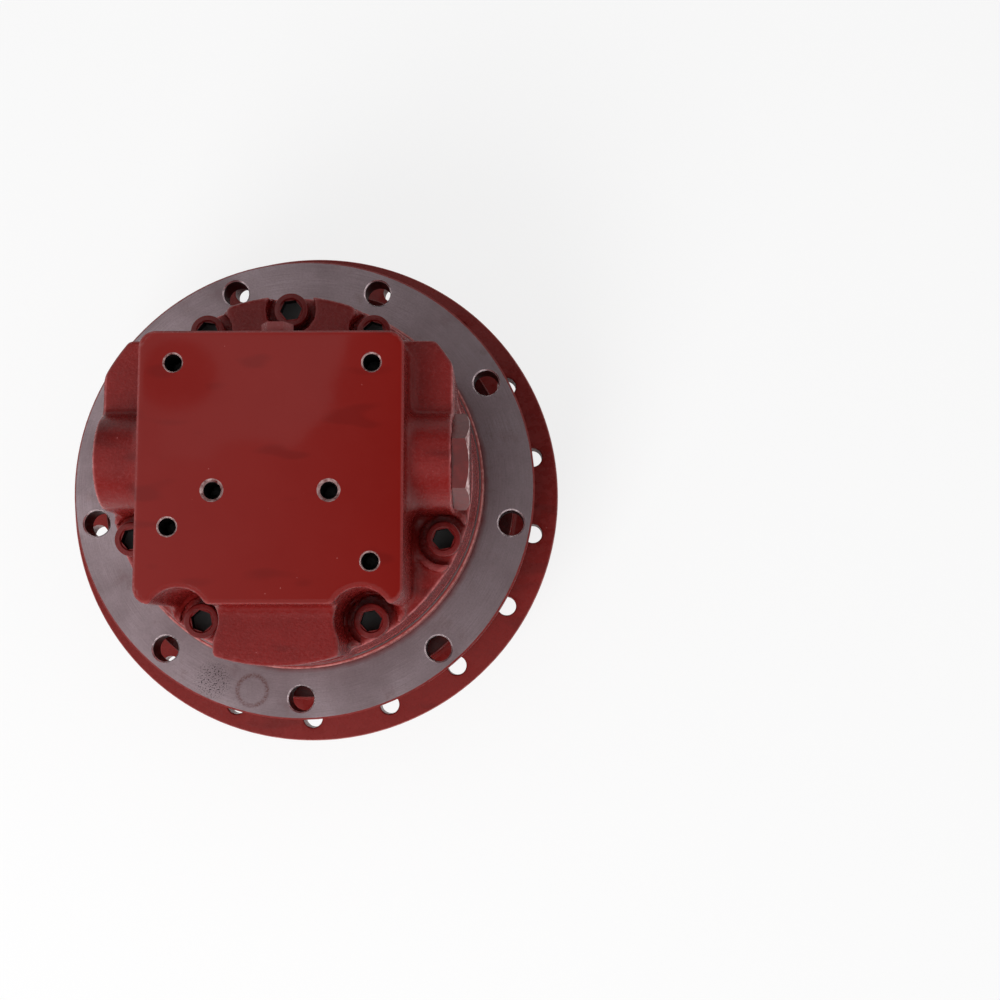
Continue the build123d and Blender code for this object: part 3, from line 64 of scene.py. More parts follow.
class Finish:
    # a material, with short ways to add and join its nodes
    def __init__(self, name, roughness, metallic=0, specular=0.5):
        self.material = bpy.data.materials.new(name)
        self.material.use_nodes = True
        self.tree = self.material.node_tree
        self.shader = self.tree.nodes["Principled BSDF"]
        self.shader.inputs["Roughness"].default_value = roughness
        self.shader.inputs["Metallic"].default_value = metallic
        self.shader.inputs["Specular IOR Level"].default_value = specular
        self.place = self.add("ShaderNodeTexCoord").outputs["Object"]

    def add(self, kind, **settings):
        node = self.tree.nodes.new(kind)
        for key, value in settings.items():
            if hasattr(node, key):
                setattr(node, key, value)
            else:
                node.inputs[key].default_value = value
        return node

    def join(self, source, target):
        self.tree.links.new(source, target)

    def noise(self, scale, detail=3, roughness=0.55, place=None):
        node = self.add("ShaderNodeTexNoise", Scale=scale, Detail=detail, Roughness=roughness)
        self.join(place or self.place, node.inputs["Vector"])
        return node.outputs["Fac"]

    def ramp(self, source, low, high, first=0, last=1):
        node = self.add("ShaderNodeMapRange", clamp=True)
        node.inputs["From Min"].default_value = low
        node.inputs["From Max"].default_value = high
        node.inputs["To Min"].default_value = first
        node.inputs["To Max"].default_value = last
        self.join(source, node.inputs["Value"])
        return node.outputs["Result"]

    def math(self, operation, first, second=None):
        node = self.add("ShaderNodeMath", operation=operation)
        for value, socket in ((first, node.inputs[0]), (second, node.inputs[1])):
            if value is None:
                continue
            if isinstance(value, (int, float)):
                socket.default_value = value
            else:
                self.join(value, socket)
        return node.outputs["Value"]

    def mix(self, factor, first, second):
        node = self.add("ShaderNodeMix", data_type="RGBA")
        for value, socket in ((factor, node.inputs[0]), (first, node.inputs[6]), (second, node.inputs[7])):
            if isinstance(value, (int, float, tuple)):
                socket.default_value = value
            else:
                self.join(value, socket)
        return node.outputs[2]

    def axes(self):
        # the place's X, Y and Z
        parts = self.add("ShaderNodeSeparateXYZ")
        self.join(self.place, parts.inputs[0])
        return parts.outputs

    def awayFrom(self, x=0, y=0):
        # distance, seen from above, from a place in millimetres, or else from the drive's upright axis
        flat = self.add("ShaderNodeVectorMath", operation="MULTIPLY_ADD")
        flat.inputs[1].default_value = (1, 1, 0)
        flat.inputs[2].default_value = (-x * mm, -y * mm, 0)
        self.join(self.place, flat.inputs[0])
        length = self.add("ShaderNodeVectorMath", operation="LENGTH")
        self.join(flat.outputs["Vector"], length.inputs[0])
        return length.outputs["Value"]

    def colour(self, source):
        self.join(source, self.shader.inputs["Base Color"])

    def rough(self, source):
        self.join(source, self.shader.inputs["Roughness"])

    def bump(self, source, strength, distance, after=None):
        node = self.add("ShaderNodeBump", Strength=strength, Distance=distance)
        self.join(source, node.inputs["Height"])
        if after is not None:
            self.join(after, node.inputs["Normal"])
        self.join(node.outputs["Normal"], self.shader.inputs["Normal"])
        return node.outputs["Normal"]


smudgeLook = {"slant": -52, "stretch": 3.2, "scale": 34, "from": 0.64, "to": 0.74}


def smudges(made):
    # slanting finger marks: a noise drawn out along a diagonal
    look = smudgeLook
    turn = made.add("ShaderNodeMapping")
    turn.inputs["Rotation"].default_value = (0, 0, math.radians(look["slant"]))
    turn.inputs["Scale"].default_value = (1, look["stretch"], 1)
    made.join(made.place, turn.inputs["Vector"])
    return made.ramp(made.noise(look["scale"], 1, 0.3, turn.outputs[0]), look["from"], look["to"])


def within(made, value, middle, half):
    # 1 at the middle, falling to 0 at the half width
    away = made.math("ABSOLUTE", made.math("SUBTRACT", value, middle))
    return made.ramp(away, half * 0.35, half, 1, 0)


def wearAndHighlightLine(made, line):
    # broken bright line along an edge, part rubbed wear and part painted highlight: at a height, at a radius
    # from the drive's axis, or at a side
    axes = made.axes()
    if "height" in line:
        mask = within(made, axes["Z"], line["height"] * mm, line["half"] * mm)
        kept = made.ramp(made.awayFrom(), line["inner"] * mm, (line["inner"] + 1) * mm)
    else:
        across = axes["X"] if "side" in line else made.awayFrom()
        mask = within(made, across, line.get("side", line.get("radius")) * mm, line["half"] * mm)
        kept = made.ramp(axes["Z"], line["above"] * mm, (line["above"] + 1) * mm)
    mask = made.math("MULTIPLY", mask, kept)
    broken = made.ramp(made.noise(line["scale"], 4, 0.7), 0.36, 0.6, 0.15, line["strength"])
    return made.math("MULTIPLY", mask, broken)


def paintFinish(name, look):
    # enamel over a casting or over a machined face: patches, dark smudges, pale edges and lines that are part
    # worn paint and part painted highlight, chips
    made = Finish(name, look["roughness"], specular=look["specular"])
    patches = made.ramp(made.noise(look["patchScale"]), 0.35, 0.65)
    base = made.mix(patches, look["deep"], look["plain"])
    mottle = made.ramp(made.noise(look["mottleScale"], 5, 0.65), 0.45, 0.75, 0, look["mottle"])
    base = made.mix(mottle, base, look["pale"])
    # pale at sharp edges, found by pointiness: part worn paint, part painted highlight
    point = made.add("ShaderNodeNewGeometry").outputs["Pointiness"]
    edges = made.math("MULTIPLY", made.ramp(point, 0.53, 0.6), look["edge"])
    base = made.mix(edges, base, look["paleWearAndHighlight"])
    chips = made.ramp(made.noise(look["chipScale"], 2, 0.4), look["chipStart"], look["chipStart"] + 0.02)
    base = made.mix(chips, base, look["paleWearAndHighlight"])
    base = made.mix(made.math("MULTIPLY", smudges(made), look["smudge"]), base, look["dirt"])
    # bright broken lines along edges and joints: part rubbed wear, part painted highlight
    for line in look["lines"]:
        base = made.mix(wearAndHighlightLine(made, line), base, look["paleWearAndHighlight"])
    made.colour(base)
    made.rough(made.ramp(made.noise(look["mottleScale"], 4), 0.3, 0.7,
                         look["roughness"] - look["sheenSpread"], look["roughness"] + look["sheenSpread"]))
    sag = made.bump(made.noise(look["sagScale"], 1), look["sag"], 0.002)
    made.bump(made.noise(look["grainScale"], 6, 0.6), look["grain"], 0.0004, sag)
    return made.material


redLooks = {
    "face": {
        "deep": linear(121, 25, 21), "plain": linear(125, 28, 24), "pale": linear(131, 38, 34),
        "paleWearAndHighlight": linear(196, 120, 116), "dirt": linear(96, 19, 17), "roughness": 0.06, "sheenSpread": 0.015,
        "specular": 0.2, "patchScale": 14, "mottleScale": 60, "mottle": 0.12, "edge": 0.5, "chipScale": 420,
        "chipStart": 0.79, "smudge": 0.35, "sagScale": 16, "sag": 0.03, "grainScale": 160, "grain": 0.01,
        "lines": [],
    },
    "cast": {
        "deep": linear(110, 21, 19), "plain": linear(126, 27, 25), "pale": linear(144, 50, 49),
        "paleWearAndHighlight": linear(196, 112, 112), "dirt": linear(70, 15, 15), "roughness": 0.24, "sheenSpread": 0.08,
        "specular": 0.24, "patchScale": 22, "mottleScale": 520, "mottle": 0.3, "edge": 0.45, "chipScale": 500,
        "chipStart": 0.8, "smudge": 0.4, "sagScale": 60, "sag": 0.2, "grainScale": 760, "grain": 0.8,
        # bright lines at the flange's joints and the wings' side edges: part rubbed wear, part painted
        # highlight
        "lines": [{"height": 175.5, "half": 1.1, "inner": 94, "scale": 500, "strength": 0.75},
                  {"height": 193.2, "half": 1.0, "inner": 93.5, "scale": 420, "strength": 0.8},
                  {"side": 85.9, "half": 0.8, "above": 206, "scale": 260, "strength": 0.7},
                  {"side": -88.3, "half": 0.7, "above": 206, "scale": 260, "strength": 0.5}],
    },
    "turned": {
        "deep": linear(112, 25, 22), "plain": linear(122, 30, 27), "pale": linear(138, 46, 44),
        "paleWearAndHighlight": linear(200, 128, 124), "dirt": linear(78, 20, 18), "roughness": 0.28, "sheenSpread": 0.06,
        "specular": 0.2, "patchScale": 12, "mottleScale": 240, "mottle": 0.3, "edge": 0, "chipScale": 400,
        "chipStart": 0.8, "smudge": 0.3, "sagScale": 40, "sag": 0.15, "grainScale": 420, "grain": 0.15,
        # bright lines at the pilot's edge and the sprocket rim's edge: part rubbed wear, part painted
        # highlight
        "lines": [{"radius": 100.2, "half": 0.9, "above": 152, "scale": 360, "strength": 0.8},
                  {"radius": 142.9, "half": 0.8, "above": 80, "scale": 200, "strength": 0.7}],
    },
}
facePaint = paintFinish("facePaint", redLooks["face"])
castPaint = paintFinish("castPaint", redLooks["cast"])
turnedPaint = paintFinish("turnedPaint", redLooks["turned"])


steelLooks = {
    "machined_case": {"plain": linear(142, 128, 130), "dark": linear(106, 90, 90), "roughness": 0.36,
                      "metallic": 0.85, "turned": 3200, "grain": 0.25},
    "gear_steel": {"plain": linear(150, 150, 152), "dark": linear(105, 104, 106), "roughness": 0.3,
                   "metallic": 1, "turned": 900, "grain": 0.15},
    "bearing_steel": {"plain": linear(190, 190, 194), "dark": linear(150, 150, 156), "roughness": 0.14,
                      "metallic": 1, "turned": 2600, "grain": 0.06},
    "seal_iron": {"plain": linear(120, 122, 126), "dark": linear(82, 84, 88), "roughness": 0.22,
                  "metallic": 1, "turned": 2000, "grain": 0.08},
    "bronze": {"plain": linear(186, 140, 84), "dark": linear(140, 98, 54), "roughness": 0.32,
               "metallic": 1, "turned": 1500, "grain": 0.12},
    "motor_steel": {"plain": linear(158, 160, 166), "dark": linear(118, 120, 126), "roughness": 0.2,
                    "metallic": 1, "turned": 1800, "grain": 0.08},
    "spring_steel": {"plain": linear(120, 124, 132), "dark": linear(70, 74, 82), "roughness": 0.28,
                     "metallic": 1, "turned": 700, "grain": 0.1},
}


def turnedMarks(made, scale):
    # fine rings about the drive's axis, broken up along their length
    axes = made.axes()
    radius = made.awayFrom()
    rings = made.add("ShaderNodeCombineXYZ")
    made.join(made.math("MULTIPLY", radius, scale), rings.inputs["X"])
    made.join(made.math("MULTIPLY", made.math("ARCTAN2", axes["Y"], axes["X"]), 5), rings.inputs["Y"])
    made.join(made.math("MULTIPLY", axes["Z"], scale), rings.inputs["Z"])
    return made.noise(1, 4, 0.6, rings.outputs[0]), radius


def steelFinish(name, look):
    made = Finish(name, look["roughness"], look["metallic"])
    marks, radius = turnedMarks(made, look["turned"])
    stain = made.noise(38, 4, 0.6)
    base = made.mix(made.ramp(stain, 0.35, 0.7), look["plain"], look["dark"])
    base = made.mix(made.ramp(marks, 0.35, 0.75, 0, 0.35), base, look["dark"])
    made.colour(base)
    made.rough(made.ramp(stain, 0.3, 0.7, look["roughness"] * 0.85, look["roughness"] * 1.25))
    made.bump(marks, look["grain"], 0.0001)
    return made.material


finishes = {slot: steelFinish(slot, look) for slot, look in steelLooks.items()}


# Bare turned face of the frame flange; places and widths in millimetres

flangeLook = {
    "plain": linear(160, 143, 148), "dark": linear(104, 87, 90), "stain": linear(92, 50, 44),
    "over": linear(112, 36, 34), "bright": linear(222, 196, 198), "pit": linear(40, 30, 32),
    "roughness": 0.36, "roughLow": 0.3, "roughHigh": 0.44, "metallic": 0.75, "metallicLoss": 0.6,
    "turned": 5200, "cloudScale": 26, "crossScale": 900, "rustScale": 58,
    "pits": (-49, -107), "pitsReach": 12, "pitScale": 1300,
    "ring": (-27, -112.5), "ringRadius": 8.2, "ringHalf": 1.6,
    "overEdge": 101.8, "overSoft": 1.6, "overWave": 3, "overScale": 120,
    "rim": 128.3, "rimHalf": 0.9, "rimScale": 240,
    "markBump": 0.35, "crossBump": 0.3, "bumpDepth": 0.08,
}


def flangeFinish(look):
    # brushed rings, brown stains, pits, red overspray by the case wall, and a bright rim line that is part
    # rubbed wear and part painted highlight
    made = Finish("flangeSteel", look["roughness"], look["metallic"])
    marks, radius = turnedMarks(made, look["turned"])
    cloud = made.noise(look["cloudScale"], 5, 0.6)
    cross = made.noise(look["crossScale"], 5, 0.75)
    rust = made.noise(look["rustScale"], 6, 0.7)
    base = look["plain"]
    for source, low, high, share, colour in (
            (cloud, 0.35, 0.68, 0.55, "dark"), (marks, 0.35, 0.72, 0.55, "dark"),
            (cross, 0.45, 0.75, 0.45, "dark"), (rust, 0.58, 0.76, 0.4, "stain")):
        base = made.mix(made.ramp(source, low, high, 0, share), base, look[colour])
    reach = look["pitsReach"] * mm
    pitted = made.ramp(made.awayFrom(*look["pits"]), reach / 2, reach, 1, 0)
    pitted = made.math("MULTIPLY", pitted, made.ramp(made.noise(look["pitScale"], 2, 0.5), 0.56, 0.6))
    base = made.mix(pitted, base, look["pit"])
    ring = within(made, made.awayFrom(*look["ring"]), look["ringRadius"] * mm, look["ringHalf"] * mm)
    ring = made.math("MULTIPLY", ring, made.ramp(cross, 0.4, 0.6, 0.1, 0.75))
    base = made.mix(ring, base, look["stain"])
    wave = made.math("SUBTRACT", made.noise(look["overScale"]), 0.5)
    edge = made.math("ADD", radius, made.math("MULTIPLY", wave, look["overWave"] * mm))
    over = made.ramp(edge, (look["overEdge"] - look["overSoft"]) * mm,
                     (look["overEdge"] + look["overSoft"]) * mm, 0.8, 0)
    base = made.mix(over, base, look["over"])
    # bright line at the rim: part rubbed wear, part painted highlight
    rimWearAndHighlight = within(made, radius, look["rim"] * mm, look["rimHalf"] * mm)
    rimWearAndHighlight = made.math("MULTIPLY", rimWearAndHighlight, made.ramp(made.noise(look["rimScale"], 3), 0.35, 0.6, 0.35, 1))
    made.colour(made.mix(rimWearAndHighlight, base, look["bright"]))
    metallic = made.math("SUBTRACT", look["metallic"], made.math("MULTIPLY", rimWearAndHighlight, look["metallicLoss"]))
    made.join(metallic, made.shader.inputs["Metallic"])
    made.rough(made.ramp(cloud, 0.3, 0.7, look["roughLow"], look["roughHigh"]))
    first = made.bump(marks, look["markBump"], look["bumpDepth"] * mm)
    made.bump(cross, look["crossBump"], look["bumpDepth"] * mm, first)
    return made.material


flangeSteel = flangeFinish(flangeLook)


def plainFinish(name, plain, dark, roughness, scale, grain, metallic=0):
    made = Finish(name, roughness, metallic)
    made.colour(made.mix(made.ramp(made.noise(scale, 4), 0.35, 0.7), plain, dark))
    made.bump(made.noise(scale * 6, 4), grain, 0.0002)
    return made.material


finishes["red_paint"] = castPaint
finishes["rubber"] = plainFinish("rubber", linear(34, 34, 36), linear(22, 22, 23), 0.55, 120, 0.2)
finishes["friction_lining"] = plainFinish("frictionLining", linear(104, 84, 60), linear(70, 56, 42),
                                          0.8, 400, 0.5)
blackOxide = plainFinish("blackOxide", linear(15, 12, 12), linear(9, 8, 8), 0.6, 300, 0.3)
boreShade = plainFinish("boreShade", linear(20, 15, 15), linear(12, 9, 9), 0.5, 220, 0.3)
# near-black wall of the frame holes: painted shade
holeWall = plainFinish("holeWall", linear(44, 37, 39), linear(17, 14, 15), 0.45, 700, 0.4)
# bright steel on the frame holes' chamfers: painted highlight
wornSteel = plainFinish("wornSteel", linear(232, 212, 216), linear(150, 130, 134), 0.22, 420, 0.5, 0.85)
# broken pale and red finish on hole mouths and the plug's bevel: part worn paint, part painted highlight
wornMouth = plainFinish("wornMouth", linear(232, 200, 198), linear(112, 27, 25), 0.22, 330, 0.6, 0.7)
glossRed = paintFinish("glossRed", dict(redLooks["turned"], deep=linear(84, 13, 12), plain=linear(94, 16, 15),
                                        roughness=0.16, specular=0.4, lines=[]))
# screw heads: darker than the cast paint, the painted shade of their pockets
screwRed = paintFinish("screwRed", dict(redLooks["cast"], deep=linear(98, 20, 19), plain=linear(112, 26, 25),
                                        roughness=0.2, grain=0.3, edge=0, lines=[]))
print("materials made")


# Mesh helpers

def linked(name, mesh):
    piece = bpy.data.objects.new(name, mesh)
    bpy.context.scene.collection.objects.link(piece)
    return piece


def newPiece(name, bm):
    mesh = bpy.data.meshes.new(name)
    bm.to_mesh(mesh)
    bm.free()
    return linked(name, mesh)


def pieceFrom(name, points, faces):
    mesh = bpy.data.meshes.new(name)
    mesh.from_pydata(points, [], faces)
    mesh.update()
    return linked(name, mesh)


def roundedOutline(corners, arcSteps=4):
    # corners are (radius, height, rounding); each rounding becomes a short arc
    outline = []
    count = len(corners)
    for index, (r, z, rounding) in enumerate(corners):
        here = Vector((r, z))
        if rounding == 0:
            outline.append(here)
            continue
        before = Vector(corners[index - 1][:2]) - here
        after = Vector(corners[(index + 1) % count][:2]) - here
        before.normalize()
        after.normalize()
        half = before.angle(after) / 2
        reach = rounding / math.tan(half)
        centre = here + (before + after).normalized() * rounding / math.sin(half)
        start = here + before * reach - centre
        turn = math.pi - 2 * half
        sign = 1 if before.x * after.y - before.y * after.x < 0 else -1
        for step in range(arcSteps + 1):
            angle = sign * turn * step / arcSteps
            c, s = math.cos(angle), math.sin(angle)
            outline.append(centre + Vector((c * start.x - s * start.y, s * start.x + c * start.y)))
    return outline


def lathe(bm, corners, steps, centre=(0, 0)):
    # closed outline in radius and height, turned about an upright axis; a point at radius 0 becomes a pole
    rings = []
    for point in roundedOutline(corners):
        if point.x < 1e-6:
            rings.append([bm.verts.new((centre[0] * mm, centre[1] * mm, point.y * mm))])
            continue
        ring = []
        for step in range(steps):
            angle = 2 * math.pi * step / steps
            ring.append(bm.verts.new(((centre[0] + point.x * math.cos(angle)) * mm,
                                      (centre[1] + point.x * math.sin(angle)) * mm, point.y * mm)))
        rings.append(ring)
    for index, ring in enumerate(rings):
        other = rings[(index + 1) % len(rings)]
        if len(ring) == 1 and len(other) == 1:
            continue
        for step in range(steps):
            following = (step + 1) % steps
            if len(ring) == 1:
                bm.faces.new((ring[0], other[following], other[step]))
            elif len(other) == 1:
                bm.faces.new((ring[step], ring[following], other[0]))
            else:
                bm.faces.new((ring[step], ring[following], other[following], other[step]))
    bmesh.ops.recalc_face_normals(bm, faces=bm.faces[:])


def sidewaysLathe(bm, corners, steps, origin, axis):
    # a lathe whose axis is X or Y: made upright in its own mesh and turned into place
    part = bmesh.new()
    lathe(part, corners, steps)
    degrees, about = (90, "Y") if axis == "x" else (-90, "X")
    turn = Matrix.Rotation(math.radians(degrees), 4, about)
    move = Matrix.Translation(Vector(origin) * mm)
    bmesh.ops.transform(part, matrix=move @ turn, verts=part.verts[:])
    mesh = bpy.data.meshes.new("part")
    part.to_mesh(mesh)
    part.free()
    bm.from_mesh(mesh)
    bpy.data.meshes.remove(mesh)


def hexagon(bm, corner, turn, low, high, place):
    # six-sided prism, open at its low end; the rule gives each corner's place from two offsets and a height
    angles = [math.radians(60 * k + turn) for k in range(6)]
    rings = []
    for height in (low, high):
        corners = [place(corner * math.cos(angle), corner * math.sin(angle), height) for angle in angles]
        rings.append([bm.verts.new(tuple(value * mm for value in point)) for point in corners])
    bm.faces.new(rings[1])
    for k in range(6):
        bm.faces.new((rings[0][k], rings[0][(k + 1) % 6], rings[1][(k + 1) % 6], rings[1][k]))
    return rings[0]


def smoothByAngle(piece, degrees=32):
    mesh = piece.data
    for polygon in mesh.polygons:
        polygon.use_smooth = True
    bm = bmesh.new()
    bm.from_mesh(mesh)
    limit = math.radians(degrees)
    for edge in bm.edges:
        edge.smooth = len(edge.link_faces) == 2 and edge.calc_face_angle(0) < limit
    bm.to_mesh(mesh)
    bm.free()


def finishModifiers(piece):
    # the evaluated shape becomes the piece's own mesh
    bpy.context.view_layer.update()
    depsgraph = bpy.context.evaluated_depsgraph_get()
    mesh = bpy.data.meshes.new_from_object(piece.evaluated_get(depsgraph))
    old = piece.data
    piece.modifiers.clear()
    piece.data = mesh
    mesh.name = piece.name
    bpy.data.meshes.remove(old)


def cutAway(piece, cutter):
    cut = piece.modifiers.new("cut", "BOOLEAN")
    cut.operation = "DIFFERENCE"
    cut.solver = "EXACT"
    cut.object = cutter
    finishModifiers(piece)
    bpy.data.objects.remove(cutter)


def dressFaces(piece, materials, choose):
    # the rule gives each face's material from its middle and mean radius, in millimetres, and its normal
    piece.data.materials.clear()
    for material in materials:
        piece.data.materials.append(material)
    points = [vertex.co for vertex in piece.data.vertices]
    for polygon in piece.data.polygons:
        reach = [math.hypot(points[i].x, points[i].y) for i in polygon.vertices]
        away = sum(reach) / len(reach) / mm
        polygon.material_index = choose(polygon.center / mm, away, polygon.normal)


def copyOfNode(name, node):
    # the node's own shape with its doubles merged, to be dressed and cut further
    bm = bmesh.new()
    bm.from_mesh(nodes[node].data)
    bmesh.ops.remove_doubles(bm, verts=bm.verts[:], dist=2e-6)
    bmesh.ops.dissolve_limit(bm, angle_limit=math.radians(0.2), verts=bm.verts[:], edges=bm.edges[:])
    return newPiece(name, bm)


# Geometry Nodes: holes on a circle, screws at points, and a turned body

class Tree:
    # a node tree with named inputs; it ends in Realize Instances and Set Material
    def __init__(self, name, sockets):
        self.group = bpy.data.node_groups.new(name, "GeometryNodeTree")
        panel = self.group.interface
        panel.new_socket("Geometry", in_out="INPUT", socket_type="NodeSocketGeometry")
        for label, kind in sockets:
            panel.new_socket(label, in_out="INPUT", socket_type="NodeSocket" + kind)
        panel.new_socket("Geometry", in_out="OUTPUT", socket_type="NodeSocketGeometry")
        self.given = self.add("NodeGroupInput").outputs
        self.end = self.add("NodeGroupOutput")

    def add(self, kind, joins=None, **settings):
        node = self.group.nodes.new(kind)
        for key, value in settings.items():
            setattr(node, key, value)
        for label, source in (joins or {}).items():
            self.group.links.new(source, node.inputs[label])
        return node

    def instances(self, points, shape, joins=None):
        # the shape of an object at each point, as real geometry
        info = self.add("GeometryNodeObjectInfo", {"Object": shape})
        given = {"Points": points, "Instance": info.outputs["Geometry"], **(joins or {})}
        place = self.add("GeometryNodeInstanceOnPoints", given)
        real = self.add("GeometryNodeRealizeInstances", {"Geometry": place.outputs["Instances"]})
        return real.outputs["Geometry"]

    def coat(self, geometry, material, joins=None):
        given = {"Geometry": geometry, "Material": material, **(joins or {})}
        return self.add("GeometryNodeSetMaterial", given).outputs["Geometry"]

    def finish(self, geometry):
        self.group.links.new(geometry, self.end.inputs["Geometry"])
        return self.group


def setInputs(piece, tree, values):
    modifier = piece.modifiers.new(tree.name, "NODES")
    modifier.node_group = tree
    for item in tree.interface.items_tree:
        if item.in_out == "INPUT" and item.name in values:
            modifier[item.identifier] = values[item.name]


def holesTree():
    tree = Tree("holesOnCircle", [("Cutter", "Object"), ("Count", "Int"), ("Circle Radius", "Float"),
                                  ("Start Angle", "Float"), ("Material", "Material")])
    add, given = tree.add, tree.given
    circle = add("GeometryNodeMeshCircle", {"Vertices": given["Count"], "Radius": given["Circle Radius"]})
    turn = add("ShaderNodeCombineXYZ", {"Z": given["Start Angle"]})
    turned = add("GeometryNodeTransform", {"Geometry": circle.outputs["Mesh"], "Rotation": turn.outputs[0]})
    cutters = tree.instances(turned.outputs["Geometry"], given["Cutter"])
    cut = add("GeometryNodeMeshBoolean", {"Mesh 1": given["Geometry"], "Mesh 2": cutters},
              operation="DIFFERENCE")
    whole = add("GeometryNodeRealizeInstances", {"Geometry": cut.outputs["Mesh"]})
    return tree.finish(tree.coat(whole.outputs["Geometry"], given["Material"]))


def screwsTree():
    # each screw's socket is turned by chance, by up to a sixth of a turn
    tree = Tree("screwsAtPoints", [("Screw", "Object"), ("Seed", "Int"), ("Head Finish", "Material"),
                                   ("Socket Finish", "Material")])
    add, given = tree.add, tree.given
    turn = add("FunctionNodeRandomValue", {"Seed": given["Seed"]}, data_type="FLOAT")
    turn.inputs[3].default_value = math.radians(60)
    angle = add("ShaderNodeCombineXYZ", {"Z": turn.outputs[1]})
    screws = tree.instances(given["Geometry"], given["Screw"], {"Rotation": angle.outputs[0]})
    inside = add("GeometryNodeInputNamedAttribute", data_type="BOOLEAN")
    inside.inputs["Name"].default_value = "insideSocket"
    heads = tree.coat(screws, given["Head Finish"])
    return tree.finish(tree.coat(heads, given["Socket Finish"], {"Selection": inside.outputs["Attribute"]}))


def turnedTree():
    # a closed outline, given as points in radius and height, turned about the upright axis
    tree = Tree("turnedBody", [("Outline", "Object"), ("Corners", "Int"), ("Steps", "Int"),
                               ("Material", "Material")])
    add, given = tree.add, tree.given

    def whole(operation, first, second):
        node = add("FunctionNodeIntegerMath", operation=operation)
        for value, socket in ((first, node.inputs[0]), (second, node.inputs[1])):
            if isinstance(value, int):
                socket.default_value = value
            else:
                tree.group.links.new(value, socket)
        return node.outputs[0]

    corners, steps = given["Corners"], given["Steps"]
    rows = whole("ADD", corners, 1)
    sheet = add("GeometryNodeMeshGrid", {"Vertices X": whole("ADD", steps, 1), "Vertices Y": rows})
    index = add("GeometryNodeInputIndex").outputs[0]
    column = whole("DIVIDE_FLOOR", index, rows)
    row = whole("MODULO", whole("MODULO", index, rows), corners)
    outline = add("GeometryNodeObjectInfo", {"Object": given["Outline"]})
    sample = add("GeometryNodeSampleIndex", {"Geometry": outline.outputs["Geometry"], "Index": row,
                                             "Value": add("GeometryNodeInputPosition").outputs[0]},
                 data_type="FLOAT_VECTOR")
    turn = add("ShaderNodeMath", {0: whole("MODULO", column, steps), 1: steps}, operation="DIVIDE")
    angle = add("ShaderNodeMath", {0: turn.outputs[0]}, operation="MULTIPLY")
    angle.inputs[1].default_value = 2 * math.pi
    swing = add("ShaderNodeVectorRotate", {"Vector": sample.outputs["Value"], "Angle": angle.outputs[0]},
                rotation_type="Z_AXIS")
    body = add("GeometryNodeSetPosition", {"Geometry": sheet.outputs["Mesh"], "Position": swing.outputs[0]})
    closed = add("GeometryNodeMergeByDistance", {"Geometry": body.outputs["Geometry"]})
    closed.inputs["Distance"].default_value = 1e-6
    real = add("GeometryNodeRealizeInstances", {"Geometry": closed.outputs["Geometry"]})
    return tree.finish(tree.coat(real.outputs["Geometry"], given["Material"]))


holesOnCircle = holesTree()
turnedBody = turnedTree()
screwsAtPoints = screwsTree()


def onCircle(radius, angles):
    return [(radius * math.cos(math.radians(a)), radius * math.sin(math.radians(a))) for a in angles]


def holeCutter(radius, bottom, top, chamfer):
    # a straight hole with a small chamfer at both mouths, standing at the origin
    bm = bmesh.new()
    over = chamfer + 1
    lathe(bm, [(0, bottom - 1, 0), (radius + over, bottom - 1, 0), (radius, bottom + chamfer, 0),
               (radius, top - chamfer, 0), (radius + over, top + 1, 0), (0, top + 1, 0)], 48)
    return newPiece("holeCutter", bm)


def cutHoles(piece, h, radius, chamfer, material):
    # a ring of through holes in a flange, the first of them at the front
    cutter = holeCutter(radius, h["bottom"], h["top"], chamfer)
    setInputs(piece, holesOnCircle, {
        "Cutter": cutter, "Count": h["count"], "Circle Radius": h["boltCircle"] * mm,
        "Start Angle": math.radians(-90), "Material": material})
    finishModifiers(piece)
    bpy.data.objects.remove(cutter)


# Port block: a casting, worked out as a distance field and then machined

castBlock = {
    "grid": 1.4, "box": 100, "joint": 170, "foot": 176, "edge": 1.3, "softEdge": 1.9, "blend": 4.0,
    "flangeTop": 194, "flangeRadius": 98.4, "flangeTaper": math.tan(math.radians(8)),
    "bossRadius": 17, "bossReach": 95, "bossRim": 3, "bossTop": 198, "bossBlend": 2.5, "screwCircle": 87,
    "screwAngles": (60, 90, 120, 202.5, 240, 300, 337.5),
    "near": 40, "far": 110, "lumpHalf": 34, "lumpCorner": 4, "lumpReach": 94.5, "lumpRim": 3,
    "lumpTop": 207,
    "padHalf": 31, "padCorner": 3, "padReach": 98.0, "padRim": 2, "padTop": 238, "padEdge": 2.1,
    "wingLeft": -89.6, "wingRight": 86.2, "wingLow": 3.8, "wingHigh": 65, "wingReach": 100.9, "wingTop": 232,
    "wingCorner": 2, "wingRim": 1.5, "wingInner": 20, "bossShort": 0.7,
    "spoolY": 3.8, "spoolZ": 225.5, "spoolBoss": 24.5,
    "faceLeft": -65, "faceRight": 63.7, "faceHigh": 62, "faceLow": -68.4, "faceCorner": 8, "faceTop": 260,
    "faceBlend": 7, "lip": 1.8, "lipFrom": 239, "lipTo": 252, "pocket": 13, "pocketBlend": 1.2,
    "scallop": 15, "scallopBlend": 2, "topBlend": 0.6,
}


def extruded(flat, z, bottom, top, rounding):
    # distance to a flat shape carried from bottom to top, with rounded rims
    side = flat + rounding
    cap = np.maximum(bottom - z, z - top) + rounding
    outside = np.hypot(np.maximum(side, 0), np.maximum(cap, 0))
    return outside + np.minimum(np.maximum(side, cap), 0) - rounding


